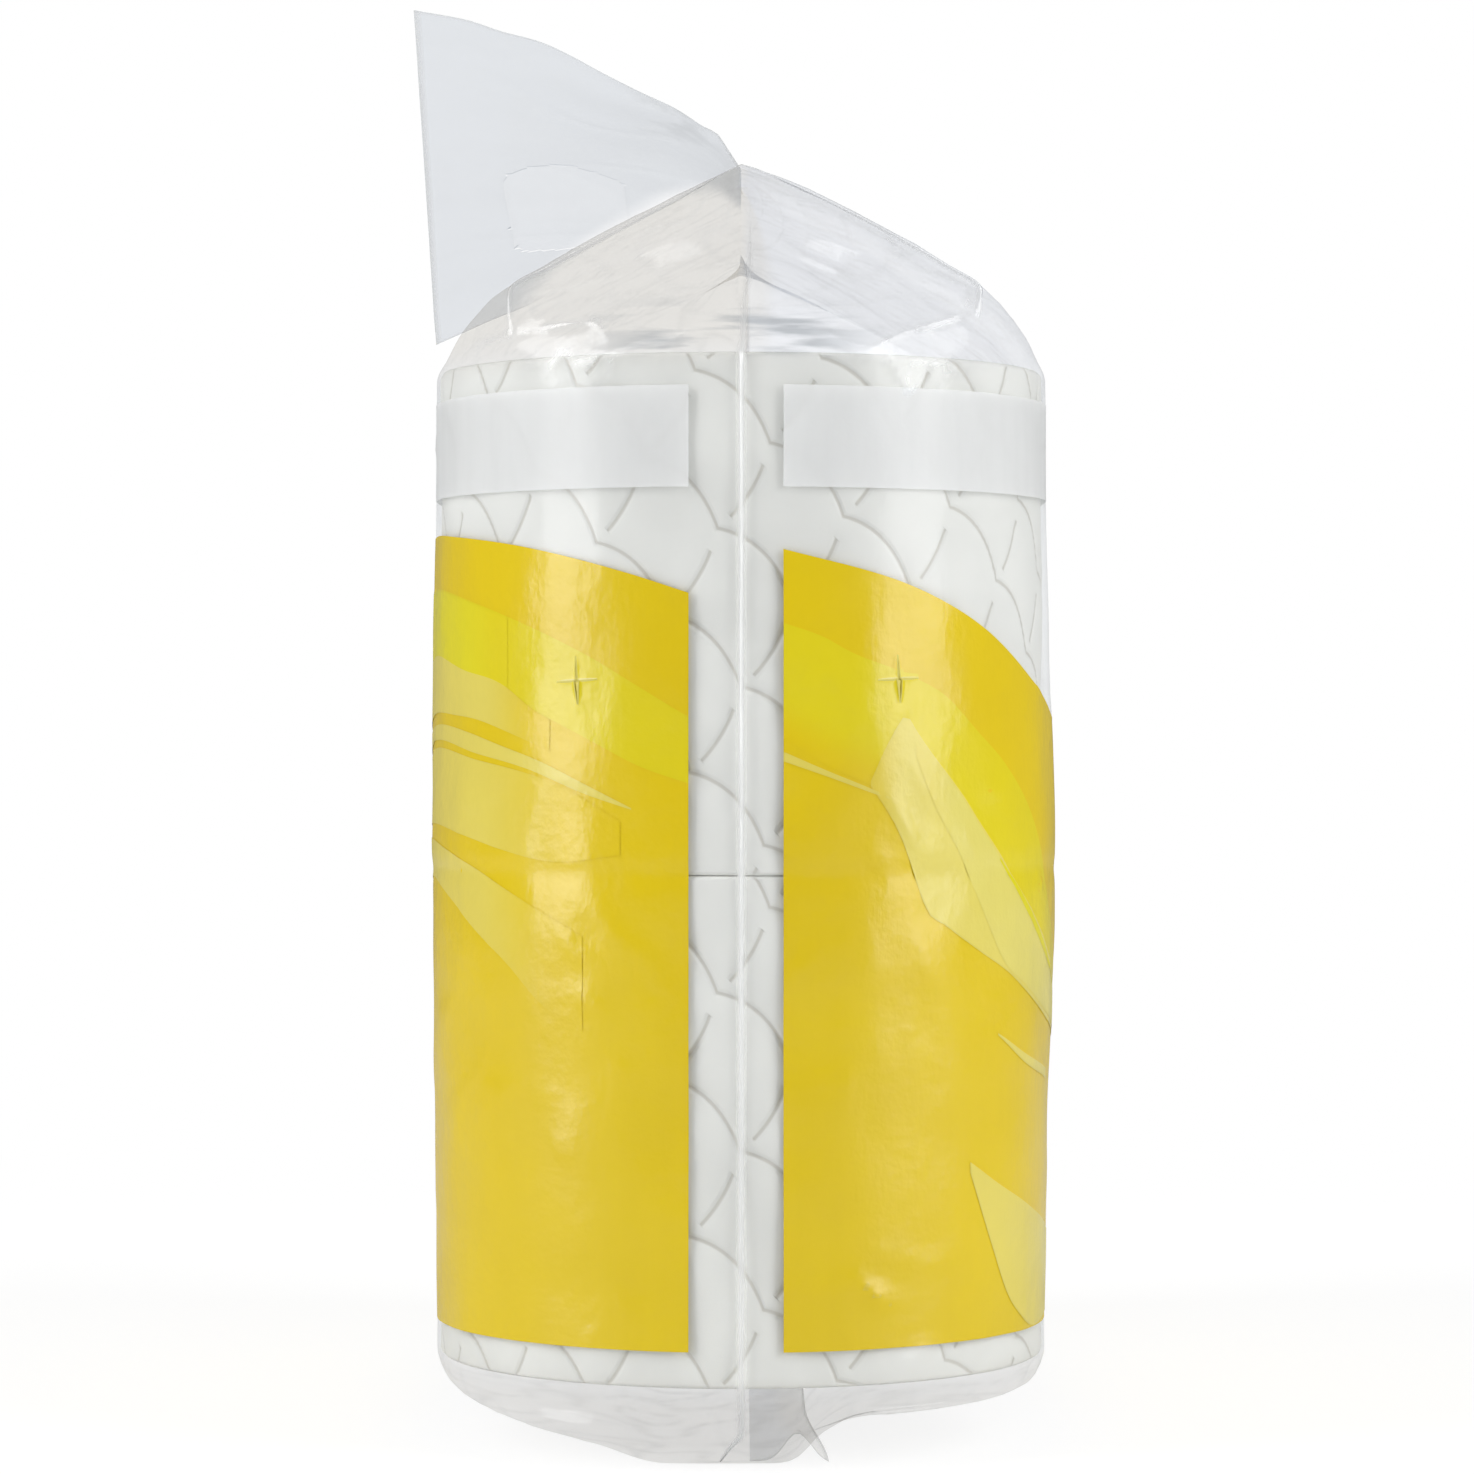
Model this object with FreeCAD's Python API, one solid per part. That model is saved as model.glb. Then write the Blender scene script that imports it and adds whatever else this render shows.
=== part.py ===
import FreeCAD, Part
import math
import os

# Toilet paper roll pack: four rolls, two deep and two high, in a clear gusseted film bag.
# Millimetres. +Z is up, z = 0 is the surface the pack stands on, and the pack's middle is at x = y = 0.
# The narrow end with the gusset crease faces -Y (front), and the wide printed faces look along +X and -X.

# Paper rolls
ROLL_RADIUS = 60.7
BORE_RADIUS = 21.0
CORE_WALL = 0.9
ROLL_CENTRE_Y = 61.0
ROLL_BOTTOM_Z = 16.5
LOWER_ROLL_HEIGHT = 97.2
UPPER_ROLL_HEIGHT = 99.3
ROLL_EDGE_SOFTENING = 1.2
TURN_GROOVE_RADII = (34.0, 47.5)
TURN_GROOVE_DEPTH = 0.8
TURN_GROOVE_HALF_WIDTH = 0.9
CORE_END_GAP = 0.5

# Film bag
FILM = 0.4
FILM_RADIUS = 61.3
FOLD_ANGLE = math.radians(46.0)
SIDE_PIECES = 3
SHOULDER_LEDGE = 0.1
WALL_BOTTOM_Z = 16.2
WALL_TOP_Z = 213.4
TENT_VOID_TOP_Z = 246.0
BASE_VOID_Z = 1.6

# Levels of the bag below and above its round wall. Each gives its height, half width, y of the roll's
# corner, x and y of the fold between gusset and wide wall, y of the gusset crease, bows of the gusset side
# and of the corner side, shift of its middle to the right, and its wall as a multiple of FILM.
BASE_LEVELS = (
    (0.0, 10.0, 90.0, 10.0, 107.0, 105.0, 0.0, 0.0, -4.0, 3),
    (4.0, 25.0, 90.0, 25.0, 106.5, 113.0, 0.0, 0.0, -2.5, 3),
    (8.5, 46.0, 88.0, 42.0, 105.0, 119.0, 6.0, 2.6, 0.0, 3),
    (12.0, 58.2, 70.0, 43.6, 104.0, 121.2, 4.8, 3.6, 0.0, 2),
)
TENT_LEVELS = (
    (220.0, 57.5, 76.0, 45.0, 104.0, 112.0, 3.0, 2.6, 0.0, 2),
    (227.0, 45.0, 101.0, 45.0, 105.0, 99.0, 0.0, 0.0, 0.0, 2),
    (250.0, 1.6, 78.0, 1.6, 108.0, 60.0, 0.0, 0.0, 0.0, 2),
)

# Top fin, as ribs from front to back. Each gives x and z in front, x and z at the back, and the x and z
# of the direction through the leaf.
FIN_RIBS = (
    ((0.0, 249.0), (0.0, 249.0), (1.0, 0.0)),
    ((-8.0, 257.5), (-9.0, 253.5), (0.6, 0.8)),
    ((-29.0, 268.6), (-38.0, 247.5), (0.2, 0.98)),
    ((-62.9, 279.6), (-72.5, 233.5), (0.0, 1.0)),
)
FIN_THICKNESS = 0.8
FIN_HALF_LENGTH = 108.0
FIN_PIECES = 6

# Seal fin under the base
BASE_FIN_LEFT_X = 4.0
BASE_FIN_RIGHT_X = 17.0
BASE_FIN_HALF_LENGTH = 107.0

# Carry slot cut through the fin
SLOT_LENGTH = 75.0
SLOT_WIDTH = 26.0
SLOT_CENTRE = FreeCAD.Vector(-38.0, 24.0, 258.5)
SLOT_TILT_DEG = 4.0
SLOT_CUT_DEPTH = 36.0

# Printed ink, laid on the outside of the film
INK = 0.3
RIGHT_STRIP_EDGE = 8.0
LEFT_STRIP_EDGE = 10.0
PRINT_BOTTOM_Z = 23.6
WHITE_BAND_LOW_Z = 187.4
WHITE_BAND_HIGH_Z = 206.7
INK_STATION_SPACING = 8.0

QUARTER_TURN = FILM_RADIUS * math.pi / 2
FLAT_WALL = 2 * ROLL_CENTRE_Y
PANEL_LENGTH = 2 * QUARTER_TURN + FLAT_WALL - RIGHT_STRIP_EDGE - LEFT_STRIP_EDGE

# Outlines of the colour fields on one wide face, as (distance along the face, height).
# Distance runs from the face's own left edge to its right edge, round the rolls.
FACE_TOP = [
    (0, 175.6), (28, 168.3), (46, 160.7), (62, 152), (76, 146), (107, 129), (135, 116),
    (160, 128), (185, 161), (209, 180.2), (238, 179.2), (266, 175.6), (286, 170.7), (PANEL_LENGTH, 167.3),
]
LEFT_LIME_TOP = [
    (0, 162), (16, 156.3), (36, 147.7), (43, 141.5), (53, 134.5), (62, 126.2), (71, 116), (90, 95),
    (112, 78),
]
LEFT_LIME_LOW = [
    (0, 143.8), (15, 141.5), (30, 138.2), (39, 130.2), (49, 119.8), (62, 107), (73, 100), (90, 88),
    (112, 76),
]
LEFT_PALE_TOP = [
    (19, 129.5), (30, 134.6), (39, 126.4), (49, 116.5), (62, 104.5), (73, 98), (90, 86.5), (112, 74.5),
]
LEFT_PALE_LOW = [
    (19, 128), (25, 120.9), (31, 106.5), (42, 99.8), (54, 94.2), (62, 90.3), (85, 83.5), (112, 73),
]
CORNER_PALE_TOP = [(41, 58), (50, 53), (60, 49), (75, 44), (95, 38), (115, 31)]
CORNER_PALE_LOW = [(41, 56), (46, 44), (52, 33), (60, 26), (80, 25), (115, 26)]
RIGHT_LIME_TOP = [
    (190, 163), (209, 170.6), (247, 165.7), (264, 160.5), (278, 154.3), (286, 150.2), (PANEL_LENGTH, 144),
]
RIGHT_LIME_LOW = [
    (190, 160), (209, 156), (242, 153), (255, 149.8), (270, 145.5), (286, 138.5), (PANEL_LENGTH, 131.5),
]
RIGHT_PALE_TOP = [
    (190, 150), (209, 153.6), (225, 152.8), (242, 150.8), (255, 147.8), (270, 141), (283, 128.5),
]
RIGHT_PALE_LOW = [(190, 148), (209, 144.4), (247, 143.2), (258, 140.6), (267, 137.3), (283, 127)]
LOW_PALE_TOP = [(180, 113), (209, 119), (240, 114.5), (254, 111), (267, 106), (282, 97)]
LOW_PALE_LOW = [(180, 110), (209, 111), (237, 106.6), (247, 101.8), (258, 95.3), (264, 91), (282, 95.5)]


def vector(x, y, z):
    return FreeCAD.Vector(x, y, z)


def export(name, shape):
    """Write one sub-part, after checking that it is made of closed solids."""
    for solid in shape.Solids:
        if not solid.isValid() or not solid.isClosed():
            raise RuntimeError(name + " is not a closed solid")
    shape.exportStep(os.path.join("parts", name + ".step"))
    print(name, len(shape.Solids), round(shape.Volume))


def revolve(outline):
    """A solid of revolution about Z from (radius, height) points."""
    points = [vector(radius, 0, height) for radius, height in outline]
    face = Part.Face(Part.makePolygon(points + points[:1]))
    return face.revolve(vector(0, 0, 0), vector(0, 0, 1), 360)


def winding_outline(height):
    """Half section of the wound paper: bore, a plain end below, and an end above that shows turns."""
    outline = [
        (BORE_RADIUS, 0),
        (ROLL_RADIUS, 0),
        (ROLL_RADIUS, height - ROLL_EDGE_SOFTENING),
        (ROLL_RADIUS - ROLL_EDGE_SOFTENING, height),
    ]
    for radius in sorted(TURN_GROOVE_RADII, reverse=True):
        outline.append((radius + TURN_GROOVE_HALF_WIDTH, height))
        outline.append((radius, height - TURN_GROOVE_DEPTH))
        outline.append((radius - TURN_GROOVE_HALF_WIDTH, height))
    outline.append((BORE_RADIUS, height))
    return outline


def paper_winding(height, upside_down):
    """One wound paper roll standing on z = 0, with its visible turns up, or down where it is turned over."""
    winding = revolve(winding_outline(height))
    if upside_down:
        winding.rotate(vector(0, 0, 0), vector(1, 0, 0), 180)
        winding.translate(vector(0, 0, height))
    return winding


def card_core(height):
    """Card tube that the paper is wound on, a little shorter than the paper."""
    length = height - 2 * CORE_END_GAP
    outer = Part.makeCylinder(BORE_RADIUS, length, vector(0, 0, CORE_END_GAP))
    inner = Part.makeCylinder(BORE_RADIUS - CORE_WALL, length, vector(0, 0, CORE_END_GAP))
    return outer.cut(inner)


def make_rolls():
    layers = (
        ("lower", ROLL_BOTTOM_Z, LOWER_ROLL_HEIGHT, True),
        ("upper", ROLL_BOTTOM_Z + LOWER_ROLL_HEIGHT, UPPER_ROLL_HEIGHT, False),
    )
    for layer, bottom, height, upside_down in layers:
        for place, centre_y in (("front", -ROLL_CENTRE_Y), ("back", ROLL_CENTRE_Y)):
            position = vector(0, centre_y, bottom)
            winding = paper_winding(height, upside_down)
            winding.translate(position)
            export(layer + "_" + place + "_roll", winding)
            core = card_core(height)
            core.translate(position)
            export(layer + "_" + place + "_core", core)


def offset_corner(corner, before, after, thickness):
    """Move a corner inwards so that it keeps the thickness from both of its sides."""
    first = corner - before
    second = after - corner
    first.normalize()
    second.normalize()
    turn = first.x * second.y - first.y * second.x
    if abs(turn) < 0.001:
        return corner + vector(-first.y, first.x, 0) * thickness
    return corner + (second - first) * (thickness / turn)


def bag_section(level, thickness=0.0):
    """Level section of the bag, taken in by the wall thickness, as corners and the bow of each side.

    It runs from the front crease to the fold between gusset and wide wall, round the roll's corner,
    along the flat wall, and so on right round, with the same shape front and back, left and right. A side
    with a bow is an arc that swells outwards by that much.
    """
    z, half_width, corner_y, fold_x, fold_y, crease_y, crease_bow, corner_bow, centre_x, plies = level
    quarter = [
        vector(0, -crease_y, z),
        vector(fold_x, -fold_y, z),
        vector(half_width, -corner_y, z),
    ]
    back_quarter = [vector(point.x, -point.y, z) for point in reversed(quarter)]
    right_half = quarter + back_quarter
    left_half = [vector(-point.x, -point.y, z) for point in right_half]
    corners = right_half[:-1] + left_half[:-1]
    bows = [crease_bow, corner_bow, 0.0, corner_bow, crease_bow] * 2
    count = len(corners)
    if thickness:
        corners = [
            offset_corner(corners[i], corners[i - 1], corners[(i + 1) % count], plies * thickness)
            for i in range(count)
        ]
    return [point + vector(centre_x, 0, 0) for point in corners], bows


def level_between(low, high, z):
    """Level at a height between two others."""
    share = (z - low[0]) / (high[0] - low[0])
    return tuple(a * (1 - share) + b * share for a, b in zip(low, high))


def bowed_side(start, end, bow):
    """Arc between two corners at one level, or a line if it has no bow."""
    if bow == 0:
        return Part.LineSegment(start, end)
    chord = end - start
    outward = vector(chord.y, -chord.x, 0)
    outward.normalize()
    return Part.Arc(start, (start + end) * 0.5 + outward * bow, end)


def section_sides(section):
    corners, bows = section
    count = len(corners)
    return [bowed_side(corners[i], corners[(i + 1) % count], bows[i]) for i in range(count)]


def section_ring(section):
    """Corners of a section with its gussets and roll corners divided, for walls made of flat pieces."""
    ring = []
    for number, side in enumerate(section_sides(section)):
        is_flat_wall = number % 5 == 2
        pieces = 1 if is_flat_wall else SIDE_PIECES
        for piece in range(pieces):
            share = piece / pieces
            ring.append(side.value(side.FirstParameter * (1 - share) + side.LastParameter * share))
    return ring


def round_section(z, thickness=0.0):
    """Section where the film lies tight on the two round rolls, in the form of a running track."""
    radius = FILM_RADIUS - thickness
    fold_x = radius * math.sin(FOLD_ANGLE)
    fold_y = ROLL_CENTRE_Y + radius * math.cos(FOLD_ANGLE)
    crease_bow = radius * (1 - math.cos(FOLD_ANGLE / 2))
    corner_bow = radius * (1 - math.cos((math.pi / 2 - FOLD_ANGLE) / 2))
    return bag_section(
        (z, radius, ROLL_CENTRE_Y, fold_x, fold_y, ROLL_CENTRE_Y + radius, crease_bow, corner_bow, 0.0, 1))


def base_sections(inside):
    """Sections of the slack base, from the strip it stands on up to the round wall."""
    wall = FILM if inside else 0.0
    foot = level_between(BASE_LEVELS[0], BASE_LEVELS[1], BASE_VOID_Z) if inside else BASE_LEVELS[0]
    sections = [bag_section(level, wall) for level in (foot, *BASE_LEVELS[1:])]
    return sections + [round_section(WALL_BOTTOM_Z, wall + SHOULDER_LEDGE)]


def tent_sections(inside):
    """Sections from the round wall over the shoulder fold to the ridge."""
    wall = FILM if inside else 0.0
    shoulder, fold, ridge = TENT_LEVELS
    head = level_between(fold, ridge, TENT_VOID_TOP_Z) if inside else ridge
    sections = [bag_section(level, wall) for level in (shoulder, fold, head)]
    return [round_section(WALL_TOP_Z, wall + SHOULDER_LEDGE)] + sections


def flat_panels(corners):
    """One flat face through four corners, or two triangles where the four do not lie in a plane."""
    a, b, c, d = corners
    normal = (b - a).cross(c - a)
    normal.normalize()
    if abs(normal.dot(d - a)) < 0.0001:
        return [Part.Face(Part.makePolygon([a, b, c, d, a]))]
    return [Part.Face(Part.makePolygon([a, b, c, a])), Part.Face(Part.makePolygon([a, c, d, a]))]


def closed_solid(faces):
    """One solid from faces that meet edge to edge."""
    shell = Part.makeShell(faces)
    shell.sewShape()
    solid = Part.makeSolid(shell)
    if solid.Volume < 0:
        solid.reverse()
    return solid


def folded_solid(sections):
    """Solid through level sections with walls of flat pieces, closed by a flat face at each end."""
    rings = [section_ring(section) for section in sections]
    faces = [Part.Face(Part.makePolygon(ring + ring[:1])) for ring in (rings[0], rings[-1])]
    for lower, upper in zip(rings, rings[1:]):
        for i in range(len(lower)):
            after = (i + 1) % len(lower)
            faces += flat_panels([lower[i], lower[after], upper[after], upper[i]])
    return closed_solid(faces)


def bag_volume(inside):
    """Whole form of the bag: its outside, or the space in it."""
    sides = section_sides(round_section(WALL_BOTTOM_Z, FILM if inside else 0.0))
    outline = Part.Wire([side.toShape() for side in sides])
    wall = Part.Face(outline).extrude(vector(0, 0, WALL_TOP_Z - WALL_BOTTOM_Z))
    return wall.fuse([folded_solid(base_sections(inside)), folded_solid(tent_sections(inside))])


def make_fin():
    """Sealed fin above the ridge: a thin leaf that leans to the left and droops towards the back.

    Each rib is a line from front to back with a direction across the leaf, and the leaf runs from rib to
    rib, in flat pieces small enough for its twist.
    """
    sides = []
    for side in (-1, 1):
        rows = []
        for (front_x, front_z), (back_x, back_z), (across_x, across_z) in FIN_RIBS:
            front = vector(front_x, -FIN_HALF_LENGTH, front_z)
            back = vector(back_x, FIN_HALF_LENGTH, back_z)
            shift = vector(across_x, 0, across_z) * (side * FIN_THICKNESS / 2)
            rows.append([
                front + (back - front) * (step / FIN_PIECES) + shift for step in range(FIN_PIECES + 1)])
        sides.append(rows)
    under, over = sides
    faces = []
    for rows in sides:
        for near, far in zip(rows, rows[1:]):
            for i in range(FIN_PIECES):
                faces += flat_panels([near[i], near[i + 1], far[i + 1], far[i]])
    for row in (0, -1):
        for i in range(FIN_PIECES):
            faces += flat_panels([under[row][i], under[row][i + 1], over[row][i + 1], over[row][i]])
    for row in range(len(FIN_RIBS) - 1):
        for end in (0, -1):
            faces += flat_panels([under[row][end], under[row + 1][end], over[row + 1][end], over[row][end]])
    return closed_solid(faces)


def carry_slot():
    """Upright cutter for the carry slot: a rounded slot, long from front to back."""
    half = SLOT_LENGTH / 2 - SLOT_WIDTH / 2
    low_z = -SLOT_CUT_DEPTH / 2
    slot = Part.makeBox(SLOT_WIDTH, 2 * half, SLOT_CUT_DEPTH, vector(-SLOT_WIDTH / 2, -half, low_z))
    for end_y in (-half, half):
        slot = slot.fuse(Part.makeCylinder(SLOT_WIDTH / 2, SLOT_CUT_DEPTH, vector(0, end_y, low_z)))
    slot = slot.removeSplitter()
    slot.rotate(vector(0, 0, 0), vector(0, 1, 0), SLOT_TILT_DEG)
    slot.translate(SLOT_CENTRE)
    return slot


def make_film_bag():
    outside = bag_volume(False)
    space = bag_volume(True)
    base_fin = Part.makeBox(
        BASE_FIN_RIGHT_X - BASE_FIN_LEFT_X, 2 * BASE_FIN_HALF_LENGTH, FIN_THICKNESS,
        vector(BASE_FIN_LEFT_X, -BASE_FIN_HALF_LENGTH, 0))
    fin = make_fin().cut(carry_slot())
    bag = outside.fuse([fin, base_fin]).cut(space)
    export("film_bag", bag.removeSplitter())


def height_at(outline, distance):
    """Height of an outline at a distance, on a smooth cubic through its points."""
    last = len(outline) - 1
    slopes = []
    for i in range(last + 1):
        before = outline[max(i - 1, 0)]
        after = outline[min(i + 1, last)]
        slopes.append((after[1] - before[1]) / (after[0] - before[0]))
    i = 0
    while i < last - 1 and distance > outline[i + 1][0]:
        i += 1
    span = outline[i + 1][0] - outline[i][0]
    t = (distance - outline[i][0]) / span
    rise = outline[i + 1][1] - outline[i][1]
    blend = t * t * (3 - 2 * t)
    ease_in = slopes[i] * span * t * (1 - t) ** 2
    ease_out = slopes[i + 1] * span * t * t * (t - 1)
    return outline[i][1] + rise * blend + ease_in + ease_out


def face_surface(distance, layer):
    """Surface of the right wide face at a distance from its left edge, layer millimetres off the film.

    It is a cylinder round each roll and a plane between them. The second result turns a distance and a
    height into the surface's own two parameters.
    """
    along = RIGHT_STRIP_EDGE
    wall_start = QUARTER_TURN - along
    wall_end = wall_start + FLAT_WALL
    if wall_start <= distance < wall_end:
        plane = Part.Plane(vector(FILM_RADIUS + layer, 0, 0), vector(1, 0, 0))
        return plane, lambda d, z: FreeCAD.Base.Vector2d(z, ROLL_CENTRE_Y + wall_start - d)
    cylinder = Part.Cylinder()
    cylinder.Radius = FILM_RADIUS + layer
    if distance < wall_start:
        cylinder.Center = vector(0, -ROLL_CENTRE_Y, 0)
        return cylinder, lambda d, z: FreeCAD.Base.Vector2d((d - wall_start) / FILM_RADIUS, z)
    cylinder.Center = vector(0, ROLL_CENTRE_Y, 0)
    return cylinder, lambda d, z: FreeCAD.Base.Vector2d((d - wall_end) / FILM_RADIUS, z)


def ink_outline(outline, distances, layer):
    """Smooth edge that follows an outline over some distances, on the surface at that layer."""
    surface, parameters = face_surface(distances[0], layer)
    curve = Part.Geom2d.BSplineCurve2d()
    curve.interpolate([parameters(d, height_at(outline, d)) for d in distances])
    return curve.toShape(surface)


def ink_upright(low, high, distance, span_start, layer):
    """Upright edge from one outline to the other at a distance, on the surface at that layer."""
    surface, parameters = face_surface(span_start, layer)
    foot = parameters(distance, height_at(low, distance))
    head = parameters(distance, height_at(high, distance))
    return Part.Geom2d.Line2dSegment(foot, head).toShape(surface)


def ink_field(low, high, under, over):
    """Ink between two outlines of a wide face, from one layer height to another, as one solid."""
    start = max(low[0][0], high[0][0])
    end = min(low[-1][0], high[-1][0])
    bends = [QUARTER_TURN - RIGHT_STRIP_EDGE, QUARTER_TURN + FLAT_WALL - RIGHT_STRIP_EDGE]
    stops = [start] + [bend for bend in bends if start < bend < end] + [end]
    faces = []
    for first, last in zip(stops, stops[1:]):
        steps = max(3, math.ceil((last - first) / INK_STATION_SPACING))
        distances = [first + (last - first) * i / steps for i in range(steps + 1)]
        rims = []
        for layer in (under, over):
            rim = [
                ink_outline(low, distances, layer),
                ink_upright(low, high, last, first, layer),
                ink_outline(high, distances, layer),
                ink_upright(low, high, first, first, layer),
            ]
            face = Part.Face(face_surface(first, layer)[0], Part.Wire(rim))
            face.validate()
            faces.append(face)
            rims.append(rim)
        below, above = rims
        faces.append(Part.makeRuledSurface(below[0], above[0]))
        faces.append(Part.makeRuledSurface(below[2], above[2]))
        if last == end:
            faces.append(Part.makeRuledSurface(below[1], above[1]))
        if first == start:
            faces.append(Part.makeRuledSurface(below[3], above[3]))
    return closed_solid(faces)


def both_faces(fields):
    """The same fields on the right face and, turned half round the upright axis, on the left face."""
    solids = []
    for field in fields:
        turned = field.copy()
        turned.rotate(vector(0, 0, 0), vector(0, 0, 1), 180)
        solids += [field, turned]
    return Part.makeCompound(solids)


def make_print():
    level = [(0, PRINT_BOTTOM_Z), (PANEL_LENGTH, PRINT_BOTTOM_Z)]
    band_low = [(0, WHITE_BAND_LOW_Z), (PANEL_LENGTH, WHITE_BAND_LOW_Z)]
    band_high = [(0, WHITE_BAND_HIGH_Z), (PANEL_LENGTH, WHITE_BAND_HIGH_Z)]
    lime = ((LEFT_LIME_LOW, LEFT_LIME_TOP), (RIGHT_LIME_LOW, RIGHT_LIME_TOP))
    pale = (
        (LEFT_PALE_LOW, LEFT_PALE_TOP),
        (CORNER_PALE_LOW, CORNER_PALE_TOP),
        (RIGHT_PALE_LOW, RIGHT_PALE_TOP),
        (LOW_PALE_LOW, LOW_PALE_TOP),
    )
    export("white_print", both_faces([ink_field(band_low, band_high, 0, INK)]))
    export("gold_print", both_faces([ink_field(level, FACE_TOP, 0, INK)]))
    export("lime_print", both_faces([ink_field(low, high, INK, 2 * INK) for low, high in lime]))
    export("pale_print", both_faces([ink_field(low, high, INK, 2 * INK) for low, high in pale]))


os.makedirs("parts", exist_ok=True)
make_rolls()
make_film_bag()
make_print()
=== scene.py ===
import math
from typing import NamedTuple

import bmesh
import bpy
import numpy as np
from bpy.props import FloatProperty, FloatVectorProperty, IntProperty, PointerProperty
from bpy.types import Operator, Panel, PropertyGroup
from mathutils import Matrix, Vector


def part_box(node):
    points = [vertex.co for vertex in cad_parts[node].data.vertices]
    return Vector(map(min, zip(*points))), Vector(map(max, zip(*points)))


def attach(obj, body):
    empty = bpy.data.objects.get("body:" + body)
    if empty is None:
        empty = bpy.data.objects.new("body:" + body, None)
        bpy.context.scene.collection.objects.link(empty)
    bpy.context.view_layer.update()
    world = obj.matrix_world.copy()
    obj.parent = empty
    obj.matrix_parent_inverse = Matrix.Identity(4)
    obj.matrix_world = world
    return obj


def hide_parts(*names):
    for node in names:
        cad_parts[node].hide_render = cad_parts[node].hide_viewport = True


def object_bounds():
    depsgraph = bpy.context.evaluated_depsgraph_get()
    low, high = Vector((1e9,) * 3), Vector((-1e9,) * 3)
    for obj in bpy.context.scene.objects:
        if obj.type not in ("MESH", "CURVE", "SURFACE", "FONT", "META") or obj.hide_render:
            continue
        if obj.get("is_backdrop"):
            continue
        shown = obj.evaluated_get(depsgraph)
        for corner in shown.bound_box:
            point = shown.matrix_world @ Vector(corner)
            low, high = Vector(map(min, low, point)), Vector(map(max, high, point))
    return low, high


bl_info = {
    "name": "Toilet Paper Roll Pack",
    "version": (1, 0, 0),
    "blender": (4, 5, 0),
    "location": "3D View > Sidebar > Roll Pack",
    "description": "Four toilet paper rolls in a clear, printed, gusseted film bag",
    "category": "Mesh",
}

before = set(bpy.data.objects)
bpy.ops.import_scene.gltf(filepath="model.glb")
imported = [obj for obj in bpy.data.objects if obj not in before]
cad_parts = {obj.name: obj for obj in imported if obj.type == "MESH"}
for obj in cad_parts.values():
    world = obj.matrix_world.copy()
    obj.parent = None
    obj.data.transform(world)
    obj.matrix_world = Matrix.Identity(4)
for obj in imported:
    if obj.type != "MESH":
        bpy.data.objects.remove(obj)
CAD_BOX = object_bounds()

# Shapes are worked out in millimetres and put into meshes in metres. Points closer than WELD become one.
MM = 0.001
WELD = 0.00001
ROOT = "root"

# The UV map of a piece holds the distance round it and the height, each divided by a span to stay under 1.
WRAP = "wrap"
UV_SPAN = 700.0

# The bag's level section round the rolls is a running track: two half circles and two flat walls. Distances
# round it start at the front crease, and a fold lies to each side of the front and the back crease.
FILM_RADIUS = 61.3
ROLL_CENTRE_Y = 61.0
ROLL_SPLIT_Z = 113.7
FOLD_ANGLE = math.radians(46.0)
FOLD_DISTANCE = FILM_RADIUS * FOLD_ANGLE
QUARTER = FILM_RADIUS * math.pi / 2
FLAT = 2 * ROLL_CENTRE_Y
HALF_ROUND = 2 * QUARTER + FLAT

# Columns next to a crease, as distances from it, and where the evenly spaced ones begin.
NEAR_CREASE = np.array([0, 0.08, 0.3, 0.6, 1.0, 1.4])
CREASE_CLEAR = 1.9

# Levels of the bag from the base strip to the ridge. Columns: height, half width, corner y, fold x,
# fold y, crease y, bow of the gusset side, bow of the corner side, shift of the middle to the right.
FOLD_X = FILM_RADIUS * math.sin(FOLD_ANGLE)
FOLD_Y = ROLL_CENTRE_Y + FILM_RADIUS * math.cos(FOLD_ANGLE)
CREASE_Y = ROLL_CENTRE_Y + FILM_RADIUS
CREASE_BOW = FILM_RADIUS * (1 - math.cos(FOLD_ANGLE / 2))
CORNER_BOW = FILM_RADIUS * (1 - math.cos(math.pi / 4 - FOLD_ANGLE / 2))
TRACK = (FILM_RADIUS, ROLL_CENTRE_Y, FOLD_X, FOLD_Y, CREASE_Y, CREASE_BOW, CORNER_BOW, 0.0)
LEVELS = np.array([
    (0.3, 0.0, 90.0, 0.0, 107.0, 105.0, 0.0, 0.0, -4.0),
    (0.35, 10.0, 90.0, 10.0, 107.0, 105.0, 0.0, 0.0, -4.0),
    (4.0, 25.0, 90.0, 25.0, 106.5, 113.0, 0.0, 0.0, -2.5),
    (8.5, 46.0, 88.0, 42.0, 105.0, 119.0, 6.0, 2.6, 0.0),
    (12.0, 58.2, 70.0, 43.6, 104.0, 121.2, 4.8, 3.6, 0.0),
    (17.5, *TRACK),
    (22.0, *TRACK),
    (207.5, *TRACK),
    (211.5, *TRACK),
    (215.5, 59.0, 68.0, 44.6, 103.8, 118.4, 4.2, 3.4, 0.2),
    (219.5, 55.6, 79.0, 45.0, 104.0, 113.5, 3.4, 2.8, 0.4),
    (226.0, 48.0, 96.0, 45.4, 104.6, 101.0, 0.0, 0.6, 0.8),
    (231.0, 38.6, 99.0, 38.0, 105.4, 92.0, 0.0, 0.0, 1.6),
    (242.0, 18.2, 90.0, 17.8, 107.0, 74.0, 0.0, 0.0, 1.8),
    (249.2, 2.6, 78.0, 2.4, 108.0, 61.0, 0.0, 0.0, 0.6),
    (250.0, 0.0, 76.0, 0.0, 108.0, 60.0, 0.0, 0.0, 0.0),
])

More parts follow.
